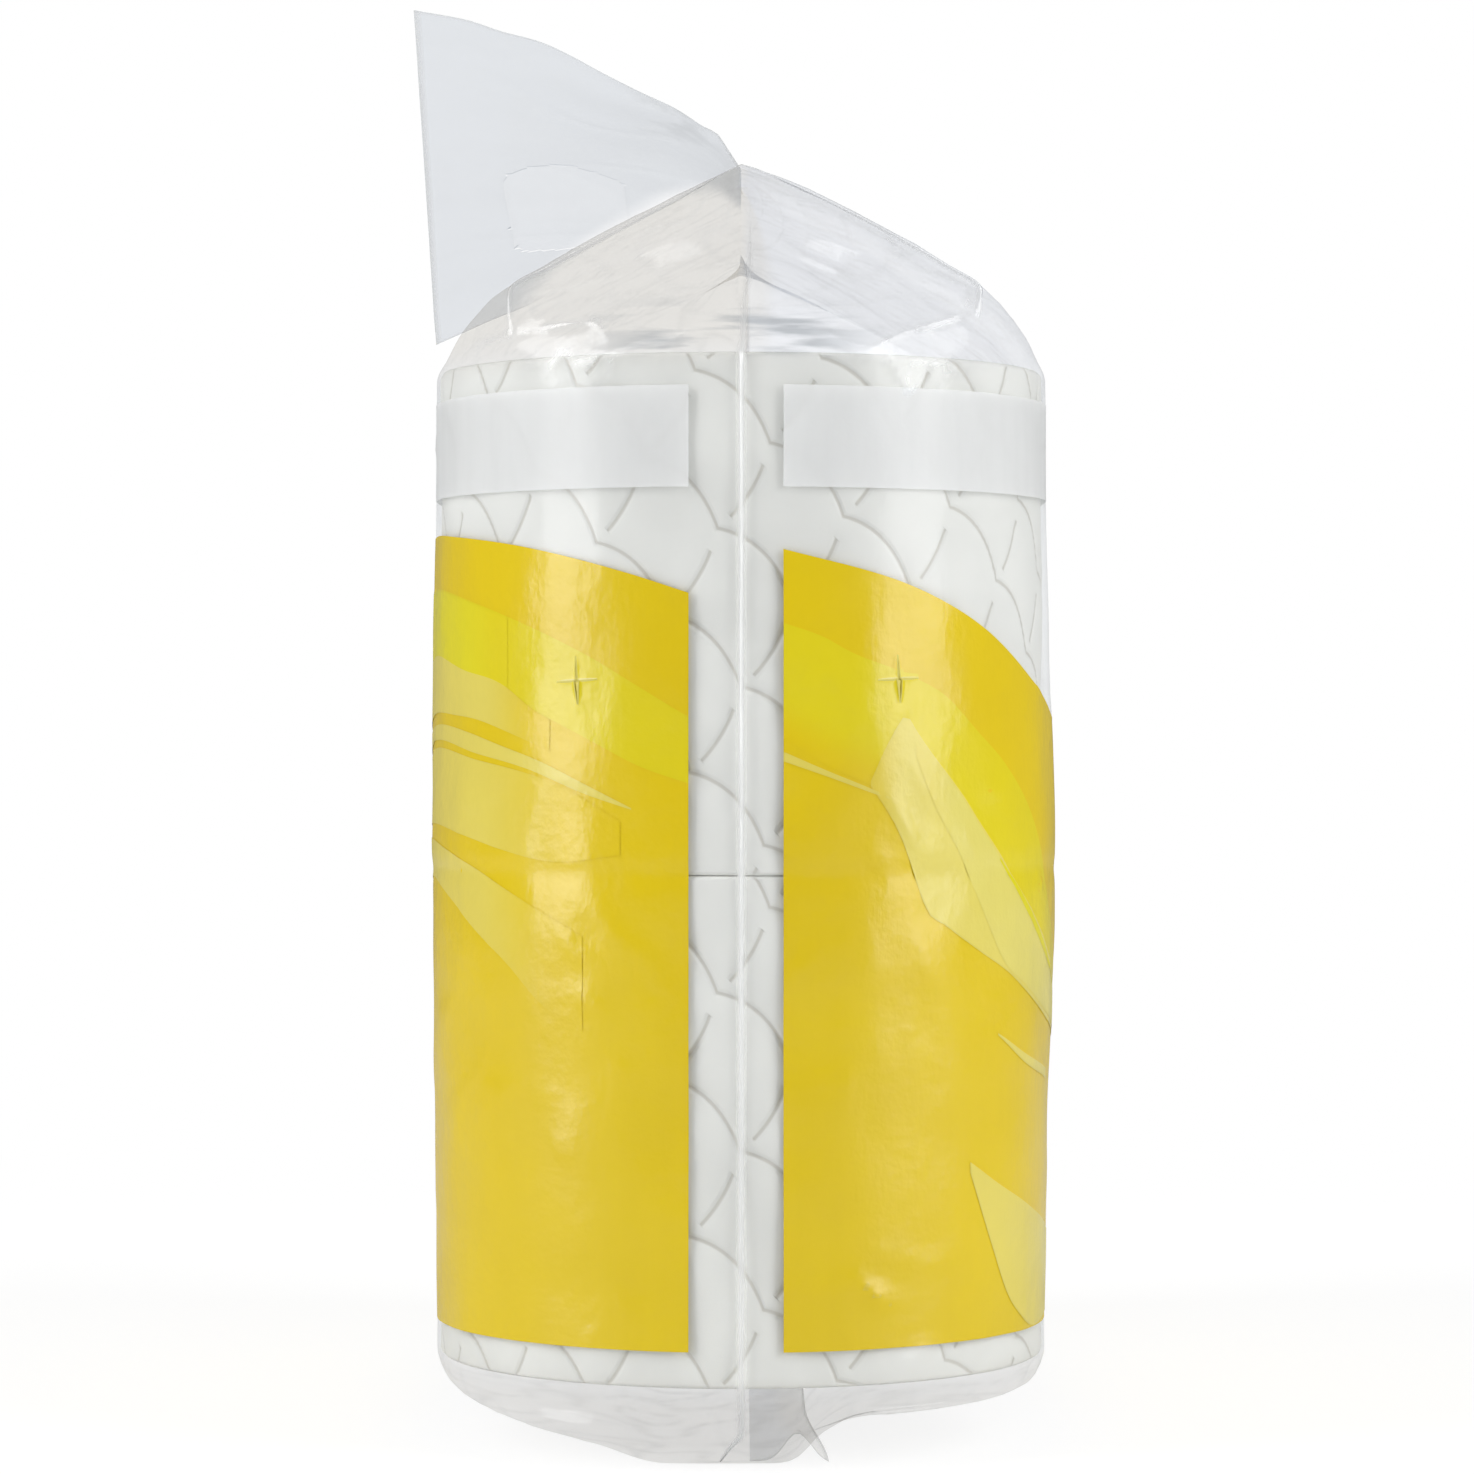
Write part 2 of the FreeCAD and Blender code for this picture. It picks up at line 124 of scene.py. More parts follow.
# Printed fields stand on a panel of each wide face. An outline is points of (distance along it, height), and
# a field that never fades does so only past the panel's end.
STRIP_EDGE = 8.0
PANEL = HALF_ROUND - STRIP_EDGE - 10.0
PRINT_BOTTOM = ((0, 23.6), (PANEL, 23.6))
GOLD_TOP = (
    (0, 175.6), (28, 168.3), (46, 160.7), (62, 152), (76, 146), (107, 129), (135, 116), (160, 128), (185, 161),
    (200, 176.0), (209, 179.2), (218, 180.0), (238, 179.2), (266, 175.6), (286, 170.7), (PANEL, 167.3),
)
BAND_LOW = ((0, 187.4), (PANEL, 187.4))
BAND_HIGH = ((0, 206.7), (PANEL, 206.7))
NEVER = (900.0, 901.0)

# The pressed arcs of the paper stand on a slanting lattice: its two steps as (distance round the roll, height),
# the area between them, how far apart the rows of arcs and of dashes are and how far each bulges, and where
# one node lies on the lower and on the upper rolls.
DASH_STEP = (-10.0, -16.2)
ARC_STEP = (14.4, -13.8)
LATTICE_CELL = 371.28
ARC_ROW, ARC_BULGE = 18.6, 11.0
DASH_ROW, DASH_BULGE = 19.5, 6.5
ARC_NODES = ((-4.6, 91.6), (-4.5, 179.5))

# Rounding of a roll's outer edges and of its bore, and depth of the film's bump, which is in metres.
ROLL_EDGE = 0.9
ROLL_LIP = 0.7
FILM_BUMP = 0.0009


def mm(value):
    """A length property, which is in metres, in millimetres."""
    return value / MM


def linear(red, green, blue):
    """A colour from 0 to 255 a channel, as shader values with an alpha of 1."""
    def channel(value):
        value /= 255
        return value / 12.92 if value <= 0.04045 else ((value + 0.055) / 1.055) ** 2.4

    return (channel(red), channel(green), channel(blue), 1.0)


def length(name, description, millimetres):
    return FloatProperty(name=name, description=description, default=millimetres * MM, min=0.0,
                         unit="LENGTH", subtype="DISTANCE", precision=4)


def colour(name, description, red, green, blue):
    return FloatVectorProperty(name=name, description=description, default=linear(red, green, blue),
                               size=4, min=0.0, max=1.0, subtype="COLOR")


def node_size(node, axis):
    """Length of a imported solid's box along one axis, in millimetres."""
    low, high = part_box(node)
    return mm(high[axis] - low[axis])


class ROLLPACK_PG_sizes(PropertyGroup):
    roll_radius: length("Roll radius", "Outside radius of the wound paper", node_size("lower_front_roll", 0) / 2)
    lower_height: length("Lower roll height", "Sheet width of the lower rolls", node_size("lower_front_roll", 2))
    upper_height: length("Upper roll height", "Sheet width of the upper rolls", node_size("upper_front_roll", 2))
    roll_bottom: length("Roll bottom", "Height of the lower rolls over the surface",
                        mm(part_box("lower_front_roll")[0][2]))
    core_radius: length("Core radius", "Outside radius of the card core", node_size("lower_front_core", 0) / 2)
    core_wall: length("Core wall", "Thickness of the card core", 0.9)
    mesh_step: length("Film mesh step", "Distance between the points of the film", 1.7)
    paper_step: length("Paper mesh step", "Distance between the points of the paper", 1.15)
    slot_length: length("Carry slot length", "Length of the slot in the top fin", 75.0)
    slot_width: length("Carry slot width", "Width of the slot in the top fin", 26.0)
    seed: IntProperty(name="Seed", description="Start of the random wrinkles", default=7, min=0)


class ROLLPACK_PG_colours(PropertyGroup):
    film: colour("Tight film", "Tint of one ply of the film where it lies on the paper", 252, 253, 254)
    loose: colour("Loose film", "Tint of one ply of the film where it hangs free", 249, 250, 252)
    folded: colour("Folded film", "Tint of the film with a tucked gusset behind it", 244, 243, 241)
    fin: colour("Welded film", "Tint of the welded film of the top fin", 229, 232, 236)
    # Painted shade: this tint darkens the film in streaks above the rolls and near the fin's root.
    streak: colour("Streaks", "Dark streaks in the film over the rolls", 200, 203, 206)
    haze: colour("Haze", "Colour that the film scatters", 250, 251, 252)
    paper: colour("Paper", "Embossed paper", 246, 245, 239)
    card: colour("Card", "Card of the cores", 176, 150, 116)
    gold: colour("Gold ink", "Golden yellow printed field", 236, 206, 0)
    lime: colour("Lime ink", "Greenish yellow ribbons", 235, 223, 20)
    pale: colour("Pale ink", "Pale yellow ribbons", 236, 226, 122)
    white: colour("White ink", "Translucent white band", 249, 250, 250)


class ROLLPACK_PG_stage(PropertyGroup):
    camera_height: length("Camera height", "Height of the camera over the surface", 140.0)
    camera_distance: length("Camera distance", "From the camera to the middle of the pack", 1002.0)
    lens: FloatProperty(name="Lens", description="Focal length of the camera", default=113.69, min=1.0,
                        unit="CAMERA")
    side_power: FloatProperty(name="Side lamps", description="Power of each upright side lamp", default=24.0,
                              unit="POWER")
    front_power: FloatProperty(name="Front lamp", description="Power of the lamp over the camera", default=6.5,
                               unit="POWER")
    fill: FloatProperty(name="Fill", description="Strength of the light from all round", default=0.22, min=0.0)


class Value:
    """A shader socket whose arithmetic adds Math nodes, so that a pattern reads as a formula."""

    def __init__(self, tree, socket):
        self.tree = tree
        self.socket = socket

    def maths(self, operation, *others):
        return self.tree.add("ShaderNodeMath", {"operation": operation}, (self, *others))

    def __add__(self, other):
        return self.maths("ADD", other)

    def __sub__(self, other):
        return self.maths("SUBTRACT", other)

    def __rsub__(self, other):
        return self.tree.add("ShaderNodeMath", {"operation": "SUBTRACT"}, (other, self))

    def __mul__(self, other):
        return self.maths("MULTIPLY", other)

    def __truediv__(self, other):
        return self.maths("DIVIDE", other)

    def __abs__(self):
        return self.maths("ABSOLUTE")

    __radd__ = __add__
    __rmul__ = __mul__

    def ease(self, start, stop):
        """0 at start, 1 at stop and smooth between them."""
        return self.tree.add("ShaderNodeMapRange", {"interpolation_type": "SMOOTHSTEP"},
                             {"Value": self, "From Min": start, "From Max": stop})

    def fraction(self):
        return self.maths("FRACT")


class Finish:
    """A new material and its nodes, or those of a world."""

    def __init__(self, name="", owner=None):
        self.owner = owner or bpy.data.materials.new(name)
        self.owner.use_nodes = True
        self.nodes = self.owner.node_tree.nodes
        self.links = self.owner.node_tree.links
        self.nodes.clear()

    def add(self, kind, settings=None, inputs=(), output=0):
        """One node: its type, its settings, then the value or link of each input. Returns one output."""
        node = self.nodes.new(kind)
        for name, value in (settings or {}).items():
            setattr(node, name, value)
        pairs = inputs.items() if isinstance(inputs, dict) else enumerate(inputs)
        for key, value in pairs:
            if isinstance(value, Value):
                self.links.new(value.socket, node.inputs[key])
            else:
                node.inputs[key].default_value = value
        return Value(self, node.outputs[output])

    def surface(self, shader, kind="ShaderNodeOutputMaterial"):
        out = self.nodes.new(kind)
        self.links.new(shader.socket, out.inputs["Surface"])
        return self.owner

    def object_point(self):
        return self.add("ShaderNodeTexCoord", output="Object")

    def wrap_point(self):
        """Distance round the piece and height, in millimetres, from its UV map."""
        across, up, _ = self.parts(self.add("ShaderNodeUVMap", {"uv_map": WRAP}))
        return across * UV_SPAN, up * UV_SPAN

    def parts(self, vector):
        node = self.nodes.new("ShaderNodeSeparateXYZ")
        self.links.new(vector.socket, node.inputs[0])
        return [Value(self, socket) for socket in node.outputs]

    def attribute(self, name):
        return self.add("ShaderNodeAttribute", {"attribute_name": name}, output="Fac")

    def stretched(self, point, x, y, z):
        return self.add("ShaderNodeVectorMath", {"operation": "MULTIPLY"}, (point, (x, y, z)))

    def noise(self, point, scale, detail=3.0, roughness=0.5):
        """Smooth noise from 0 to 1 with about `scale` bumps to the metre."""
        return self.add("ShaderNodeTexNoise", inputs={
            "Vector": point, "Scale": scale, "Detail": detail, "Roughness": roughness})

    def crinkle(self, point):
        """Relief of creased film: soft dents with fine upright lines."""
        fine = self.noise(self.stretched(point, 1, 1, 0.25), 900, 3)
        return self.noise(point, 120, 4, 0.55) + fine * 0.12

    def clear(self, tint=(1, 1, 1, 1)):
        return self.add("ShaderNodeBsdfTransparent", inputs={"Color": tint})

    def blend(self, factor, first, second):
        """A colour from the first to the second."""
        return self.add("ShaderNodeMix", {"data_type": "RGBA"}, {0: factor, 6: first, 7: second}, output=2)

    def bump(self, height, distance, strength=1.0):
        return self.add("ShaderNodeBump", inputs={"Height": height, "Distance": distance, "Strength": strength})

    def mix(self, factor, first, second):
        """A shader from the first to the second."""
        return self.add("ShaderNodeMixShader", inputs=(factor, first, second))

    def principled(self, **inputs):
        return self.add("ShaderNodeBsdfPrincipled", inputs={
            name.replace("_", " "): value for name, value in inputs.items()})


def emboss_lines(across, up, ease, fraction, size):
    """Distance in millimetres from the arcs pressed into the paper, for numbers or sockets.

    Along the lattice's arc step, a whole arc that swells upwards runs from node to node, and along its dash
    step a dash between two nodes. A line's distance is its row's share of a step, bent by way times one
    minus way. Between two dashes the distance is large.
    """
    down = (across * ARC_STEP[1] - up * ARC_STEP[0]) / LATTICE_CELL
    along = (up * DASH_STEP[0] - across * DASH_STEP[1]) / LATTICE_CELL
    down_part, along_part = fraction(down + 0.5), fraction(along + 0.5)
    arc_way, dash_way = fraction(along), fraction(down)
    arc = size((down_part - 0.5) * ARC_ROW + arc_way * (1 - arc_way) * ARC_BULGE)
    dash = size((along_part - 0.5) * DASH_ROW - dash_way * (1 - dash_way) * DASH_BULGE)
    gap = 1 - ease(size(dash_way - 0.52), 0.30, 0.36)
    return arc, dash + (1 - gap) * 30.0


def paper_finish(colours):
    """Embossed tissue: pressed arcs with painted shade in their grooves, soft mottle, fine fibres, and turns on
    the wound ends.
    """
    finish = Finish("embossed_paper")
    across, up = finish.wrap_point()
    point = finish.object_point()
    arc, dash = emboss_lines(across, up, Value.ease, Value.fraction, abs)
    line = arc.maths("MINIMUM", dash)
    side = finish.attribute("side")
    painted_groove_shade = (1 - line.ease(0.12, 0.55)) * side
    mottle = finish.noise(point, 55, 4)
    fibre = finish.noise(point, 1400, 5, 0.7)
    turns = finish.attribute("turn") * 340.0
    turn_line = abs(turns.fraction() - 0.5) * 2
    rough_turn = finish.noise(finish.stretched(point, 1, 1, 0.1), 260, 4)
    shade = finish.blend(mottle.ease(0.3, 0.75), (*(0.93 * c for c in colours.paper[:3]), 1), colours.paper)
    shade = finish.blend((1 - side) * turn_line * rough_turn * 0.5, shade, linear(206, 202, 194))
    # Painted shade: the pressed grooves are darkened towards grey-brown, as if shade falls in them.
    shade = finish.blend(painted_groove_shade * 0.42, shade, linear(170, 162, 146))
    relief = (1 - line.ease(0.0, 1.1)) * side * -0.6 + fibre * 0.12 + (1 - side) * turn_line * 0.5
    return finish.surface(finish.principled(
        Base_Color=shade, Roughness=fibre * 0.15 + 0.82, Specular_IOR_Level=0.2,
        Sheen_Weight=0.12, Normal=finish.bump(relief, 0.0004, 0.8)))


def card_finish(colours):
    """Grey-brown core card with a spiral seam and recycled fibres."""
    finish = Finish("core_card")
    across, up = finish.wrap_point()
    point = finish.object_point()
    spiral = (across + up * 1.9) / 131.9
    seam = 1 - abs(spiral.fraction() - 0.5).ease(0.0, 0.012)
    fibre = finish.noise(finish.stretched(point, 1, 1, 0.3), 900, 6, 0.7)
    shade = finish.blend(fibre.ease(0.35, 0.7), colours.card, linear(196, 174, 142))
    shade = finish.blend(seam * 0.6, shade, linear(120, 98, 70))
    return finish.surface(finish.principled(
        Base_Color=shade, Roughness=0.86, Normal=finish.bump(fibre * 0.4 - seam, 0.0003, 0.6)))


def film_finish(name, tight, colours, haze):
    """Clear film: it lets most light through, scatters a little, and shines at its folds and edges.

    Where it hangs free it is greyer, with a tucked gusset behind it it is beige, and where it is plain there is
    next to nothing to see. Along its streak attribute it is tinted darker in streaks, which is painted shade.
    Where it whitens it turns milky and shines more, which is partly real whitening and partly painted glints. At a
    flat angle it reflects more, by the fifth power of how far it is turned away.
    """
    finish = Finish(name)
    point = finish.object_point()
    loose, folded, streak, plain, whitening_and_glint = (
        finish.attribute(key) for key in ("loose", "folded", "streak", "plain", "whitening_and_glint"))
    normal = finish.bump(finish.crinkle(point), FILM_BUMP, 0.14)
    bands = finish.noise(finish.stretched(point, 0.3, 0.6, 2.2), 150, 4).ease(0.42, 0.66)
    through = finish.mix(loose, finish.clear(tight), finish.clear(colours.loose))
    through = finish.mix(folded, through, finish.clear(colours.folded))
    # Painted shade: dark streaks of tint where the streak attribute is set.
    through = finish.mix(streak * bands, through, finish.clear(colours.streak))
    through = finish.mix(plain, through, finish.clear())
    milky = finish.mix(0.45, finish.add("ShaderNodeBsdfDiffuse", inputs={"Color": colours.haze, "Normal": normal}),
                       finish.add("ShaderNodeBsdfTranslucent", inputs={"Color": colours.haze}))
    cloud = finish.noise(point, 38, 5, 0.6).ease(0.3, 0.8)
    milk = (cloud + 0.6) * haze * (1 - loose * 0.6) * (1 - plain)
    # Milky white where the film whitens: partly real whitening and partly painted glints.
    body = finish.mix(milk + whitening_and_glint, through, milky)
    gloss = finish.add("ShaderNodeBsdfAnisotropic", {"distribution": "MULTI_GGX"}, {
        "Color": (1, 1, 1, 1), "Roughness": 0.16, "Normal": normal})
    away = finish.add("ShaderNodeLayerWeight", inputs={"Blend": 0.5, "Normal": normal}, output="Facing")
    grazing = away.maths("POWER", 5.0) * (1 - folded * 0.85) * (1 - plain)
    return finish.surface(finish.mix(grazing * 0.25 + 0.025 + whitening_and_glint * 0.1, body, gloss))


def ink_finish(name, main, gold):
    """Ink under the film's gloss: it fades to gold by its attribute, with soft streaks, specks and painted slit
    shade.
    """
    finish = Finish(name)
    point = finish.object_point()
    streak = finish.noise(finish.stretched(point, 1, 1, 0.04), 420, 3)
    cloud = finish.noise(point, 26, 3)
    speck = 1 - finish.add("ShaderNodeTexVoronoi", inputs={"Vector": point, "Scale": 62.0}).ease(0.03, 0.05)
    rare = finish.noise(point, 210, 0).ease(0.66, 0.7)
    shade = finish.blend(finish.attribute("fade"), main, gold)
    deep = finish.add("ShaderNodeMix", {"data_type": "RGBA", "blend_type": "MULTIPLY"},
                      {0: 1.0, 6: shade, 7: (0.9, 0.88, 0.84, 1)}, output=2)
    shade = finish.blend(cloud.ease(0.35, 0.7) * 0.45 + streak * 0.25, shade, deep)
    # The cut attribute paints shade: the vents' slits are darkened towards brown.
    shade = finish.blend(speck * rare * 0.8 + finish.attribute("cut"), shade, linear(110, 88, 24))
    relief = finish.crinkle(point) + finish.noise(point, 34, 1) * 2.4
    return finish.surface(finish.principled(
        Base_Color=shade, Roughness=cloud * 0.12 + 0.17, Specular_IOR_Level=0.6,
        Normal=finish.bump(relief, FILM_BUMP, 0.3)))


def white_ink_finish(colours):
    """Thin white ink, through which the paper shows a little."""
    finish = Finish("white_ink")
    point = finish.object_point()
    patchy = finish.noise(finish.stretched(point, 1, 1, 0.2), 160, 4)
    normal = finish.bump(finish.noise(point, 120, 4, 0.55), FILM_BUMP, 0.2)
    ink = finish.principled(Base_Color=colours.white, Roughness=0.32, Normal=normal)
    return finish.surface(finish.mix(patchy * 0.1 + 0.66, finish.clear(), ink))


def hermite(knots, values, slopes, where):
    """Smooth curve through values at knots with the slopes given there, for each column of values."""
    place = np.clip(np.searchsorted(knots, where, side="right") - 1, 0, len(knots) - 2)
    width = np.diff(knots)[place][:, None]
    t = (where - knots[place])[:, None] / width
    start, stop = values[place], values[place + 1]
    return (start + (stop - start) * (t * t * (3 - 2 * t)) + slopes[place] * width * t * (1 - t) ** 2
            + slopes[place + 1] * width * t * t * (t - 1))


def pchip(knots, values, where):
    """Smooth curve through values at knots that never overshoots, for each column of values.

    Its slope at a knot is the harmonic mean of the slopes on both sides, or 0 where they differ in sign.
    """
    rise = np.diff(values, axis=0) / np.diff(knots)[:, None]
    before, after = rise[:-1], rise[1:]
    same = before * after > 0
    middle = np.where(same, 2 * before * after / np.where(same, before + after, 1), 0)
    return hermite(knots, values, np.concatenate([rise[:1], middle, rise[-1:]]), where)


def outline_height(outline, distance):
    """Height of an outline at distances along the face, on a smooth curve through its points."""
    along, height = np.array(outline, float).T
    slopes = np.gradient(height, along)
    return hermite(along, height[:, None], slopes[:, None], distance)[:, 0]


def ease(value, start, stop):
    """0 at start, 1 at stop and smooth between them."""
    t = np.clip((value - start) / (stop - start), 0, 1)
    return t * t * (3 - 2 * t)


def band(value, rise, fall):
    """0, then 1 between two smooth steps: up over the pair `rise` and down over the pair `fall`."""
    return ease(value, *rise) * (1 - ease(value, *fall))


def hump(value, centre, width):
    """A smooth bump of height 1: e to the minus squared distance over width."""
    return np.exp(-((value - centre) / width) ** 2)


def ripple(points, wavelength, seed, stretch=(1, 1, 1), count=26):
    """Smooth random relief of about -1 to 1: a sum of cosine waves of random direction, length and phase."""
    rng = np.random.default_rng(seed)
    direction = rng.normal(size=(count, 3))
    direction /= np.linalg.norm(direction, axis=1)[:, None]
    number = direction * (2 * math.pi / wavelength * rng.uniform(0.7, 1.4, count))[:, None] / np.array(stretch)
    phase = rng.uniform(0, 2 * math.pi, count)
    return np.cos(points @ number.T + phase).sum(-1) / math.sqrt(count)


def folds(points, wavelength, seed, stretch=(1, 1, 1)):
    """Random sharp folds: 1 on thin lines and 0 away from them, where a ripple passes through zero."""
    return np.clip(1 - np.abs(ripple(points, wavelength, seed, stretch)) * 2.2, 0, 1) ** 1.5


def crease_lines(across, up, lines):
    """Raised folds along segments: for each, its height times a peak that falls off over its width.

    A line is (start, stop, height, width), with its ends as (distance round the bag, height).
    """
    total = np.zeros_like(across)
    for (x0, z0), (x1, z1), height, width in lines:
        dx, dz = x1 - x0, z1 - z0
        way = np.clip(((across - x0) * dx + (up - z0) * dz) / (dx * dx + dz * dz), 0, 1)
        gap = np.hypot(across - x0 - way * dx, up - z0 - way * dz)
        taper = 0.35 + 0.65 * np.sin(math.pi * np.clip(way, 0.05, 0.95))
        total += height * np.exp(-(gap / width) ** 1.4) * taper
    return total


def random_creases(seed, count, low_z, high_z):
    """Short random folds all round the bag."""
    rng = np.random.default_rng(seed)
    lines = []
    for _ in range(count):
        x, z = rng.uniform(-HALF_ROUND, HALF_ROUND), rng.uniform(low_z, high_z)
        size, angle = rng.uniform(3, 11), rng.normal(0.9, 0.7)
        lines.append(((x, z), (x + size * math.cos(angle), z + size * math.sin(angle)),
                      rng.choice([-0.16, 0.2, 0.3]), rng.uniform(0.8, 1.6)))
    return lines


def spread(*parts):
    """A grid of points or UVs from its coordinates, each of which stretches over rows and columns."""
    return np.stack(np.broadcast_arrays(*parts), -1)


def grid_normals(points):
    """Unit normals of a grid of points, from its differences along columns and rows."""
    normal = np.cross(np.gradient(points, axis=1), np.gradient(points, axis=0))
    return normal / np.maximum(np.linalg.norm(normal, axis=-1, keepdims=True), 1e-9)


def crease_distance(across):
    """Distance from the front or the back crease, whichever is nearer."""
    return np.minimum(np.abs(across), HALF_ROUND - np.abs(across))


def bag_ring(rows, distance):
    """Points of the bag at each row of level values and each distance round it from the front crease.

    Each quarter is a gusset side, then a corner side, then half a flat wall. A side is an arc through its
    two ends with its own bow: along it goes the sine of the angle, and out of it the cosine.
    """
    z, half_width, corner_y, fold_x, fold_y, crease_y, crease_bow, corner_bow, shift = (
        column[:, None] for column in rows.T)
    away = np.abs(distance)[None, :]
    zero = np.zeros_like(z)
    ends = [(zero, -crease_y), (fold_x, -fold_y), (half_width, -corner_y),
            (half_width, corner_y), (fold_x, fold_y), (zero, crease_y)]
    bows = [crease_bow, corner_bow, zero, corner_bow, crease_bow]
    stops = [0, FOLD_DISTANCE, QUARTER, QUARTER + FLAT, HALF_ROUND - FOLD_DISTANCE, HALF_ROUND]
    x = np.zeros((len(rows), distance.size))
    y = np.zeros_like(x)
    for side in range(5):
        (x0, y0), (x1, y1) = ends[side], ends[side + 1]
        inside = (away >= stops[side]) & (away <= stops[side + 1])
        share = (away - stops[side]) / (stops[side + 1] - stops[side])
        chord = np.maximum(np.hypot(x1 - x0, y1 - y0), 1e-6)
        half_angle = np.maximum(2 * np.arctan(2 * bows[side] / chord), 1e-4)
        angle = (2 * share - 1) * half_angle
        along = np.sin(angle) / np.sin(half_angle) / 2 + 0.5
        out = (np.cos(angle) - np.cos(half_angle)) / np.sin(half_angle) / 2
        x = np.where(inside, x0 + (x1 - x0) * along + (y1 - y0) * out, x)
        y = np.where(inside, y0 + (y1 - y0) * along - (x1 - x0) * out, y)
    x = x * np.sign(distance)[None, :] + shift
    return spread(x, y, z)


# Folds seen in the film: their two ends as (distance round the bag, height), how far they stand up, and how
# wide they are.
FRONT_CREASES = (
    ((22.2, 36.3), (29.2, 32.0), 0.9, 1.1),
    ((31.0, 19.5), (40.0, 21.5), 0.8, 1.2),
    ((-30, 108), (-22, 99), 0.35, 1.6),
    ((-38, 104), (-30, 96), 0.3, 1.4),
    ((-34, 92), (-26, 86), 0.3, 1.5),
    ((-20, 100), (-14, 92), 0.25, 1.2),
    ((34, 104), (40, 92), 0.3, 1.5),
    ((30, 128), (36, 118), 0.3, 1.6),
    ((24, 120), (30, 112), 0.25, 1.3),
)
TENT_CREASES = (
    ((-67, 216.0), (-45, 218.0), 1.0, 0.9),
    ((-45, 218.0), (-30, 219.3), 1.0, 0.8),
    ((-31, 220.5), (-26, 215.6), 0.9, 0.7),
    ((-46, 225.0), (-43, 220.8), 0.8, 0.7),
    ((46.5, 221.0), (32.5, 216.9), 1.1, 0.9),
    ((32.5, 216.9), (24.5, 213.8), 0.9, 0.8),
    ((46.5, 227.0), (46.5, 221.2), 0.7, 0.7),
    ((30, 212.0), (34, 206.0), 0.6, 0.8),
    ((34, 206.0), (38, 211.5), 0.6, 0.8),
    ((12, 236.0), (26, 228.5), 0.5, 0.9),
    ((43.5, 239.0), (46.0, 234.0), 0.9, 0.7),
    ((46.0, 234.0), (39.5, 232.8), 0.7, 0.7),
    ((42.5, 230.5), (47.0, 226.8), 0.9, 0.7),
)


def film_relief(points, across, up, seed):
    """Distance in millimetres that the film stands off the track: everything that is not its plain form.

    It adds a bulge at the split between the rolls, a pinch there, slack on the flat walls, long soft
    waves, small folds, and the pressed ridge of the gusset crease.
    """
    x, y = points[..., 0], points[..., 1]
    body = band(up, (14, 24), (205, 216))
    side = np.abs(x) / FILM_RADIUS
    bulge = np.where(x > 0, 2.1, 0.9) * hump(up, 114, 40) * ease(side, 0.55, 1.0)
    pinch = -0.24 * hump(up, ROLL_SPLIT_Z, 1.9)
    slack = -1.5 * hump(y, 0, 30) * ease(side, 0.98, 1.0) * (1 + 0.5 * ripple(points, 70, seed + 1))
    waves = (0.20 * ripple(points, 42, seed + 2, (1, 1, 2.2))
             + 0.10 * ripple(points, 15, seed + 3, (1, 1, 1.7)))
    small = 0.16 * folds(points, 26, seed + 4, (1, 1, 1.6)) * ease(ripple(points, 60, seed + 5), -0.1, 0.8)
    lines = crease_lines(across, up, FRONT_CREASES + tuple(random_creases(seed + 6, 90, 22, 205)))
    ridge = 0.3 * np.exp(-crease_distance(across) / 0.35)
    return body * (bulge + pinch + slack + waves + small + lines) + ridge * (1 - ease(up, 215, 226))


def loose_relief(points, across, up, seed):
    """Crumples of the slack film above and below the rolls, in millimetres along its normal."""
    tent, base = band(up, (214, 224), (246, 250)), band(up, (0.4, 3), (8, 17))
    soft = 0.3 * ripple(points, 48, seed + 11) + 0.2 * folds(points, 38, seed + 12)
    sharp = 0.08 * folds(points, 14, seed + 13)
    hip = 0.9 * hump(np.abs(across), FOLD_DISTANCE, 1.7) * tent
    return tent * (soft + sharp) + hip + base * (soft + 2 * sharp) * 0.7 + crease_lines(across, up, TENT_CREASES)


def body_point(across, up, off, seed):
    """Point of the film between the base and the shoulder, a distance `off` outside it.

    The level section is the running track, so the point is the track's own point plus its outward normal
    times the film's relief and `off`.
    """
    away, sign = np.abs(across), np.sign(across)
    angle = np.minimum(away / FILM_RADIUS, math.pi / 2) + np.maximum((away - QUARTER - FLAT) / FILM_RADIUS, 0)
    normal = spread(np.sin(angle) * sign, -np.cos(angle), 0.0)
    centre = spread(0.0, np.clip(away - QUARTER, 0, FLAT) - ROLL_CENTRE_Y, up)
    point = centre + normal * FILM_RADIUS
    relief = film_relief(point, across, up, seed) + off
    return point + normal * relief[..., None]


def add_object(name, data):
    """A new object in the scene, at the origin."""
    thing = bpy.data.objects.new(name, data)
    bpy.context.scene.collection.objects.link(thing)
    return thing


def grid_faces(rows, columns, start=0):
    """Corner numbers of the squares of a grid of points, numbered along its rows."""
    index = np.arange(rows * columns).reshape(rows, columns) + start
    return np.stack([index[:-1, :-1], index[:-1, 1:], index[1:, 1:], index[1:, :-1]], -1).reshape(-1, 4)


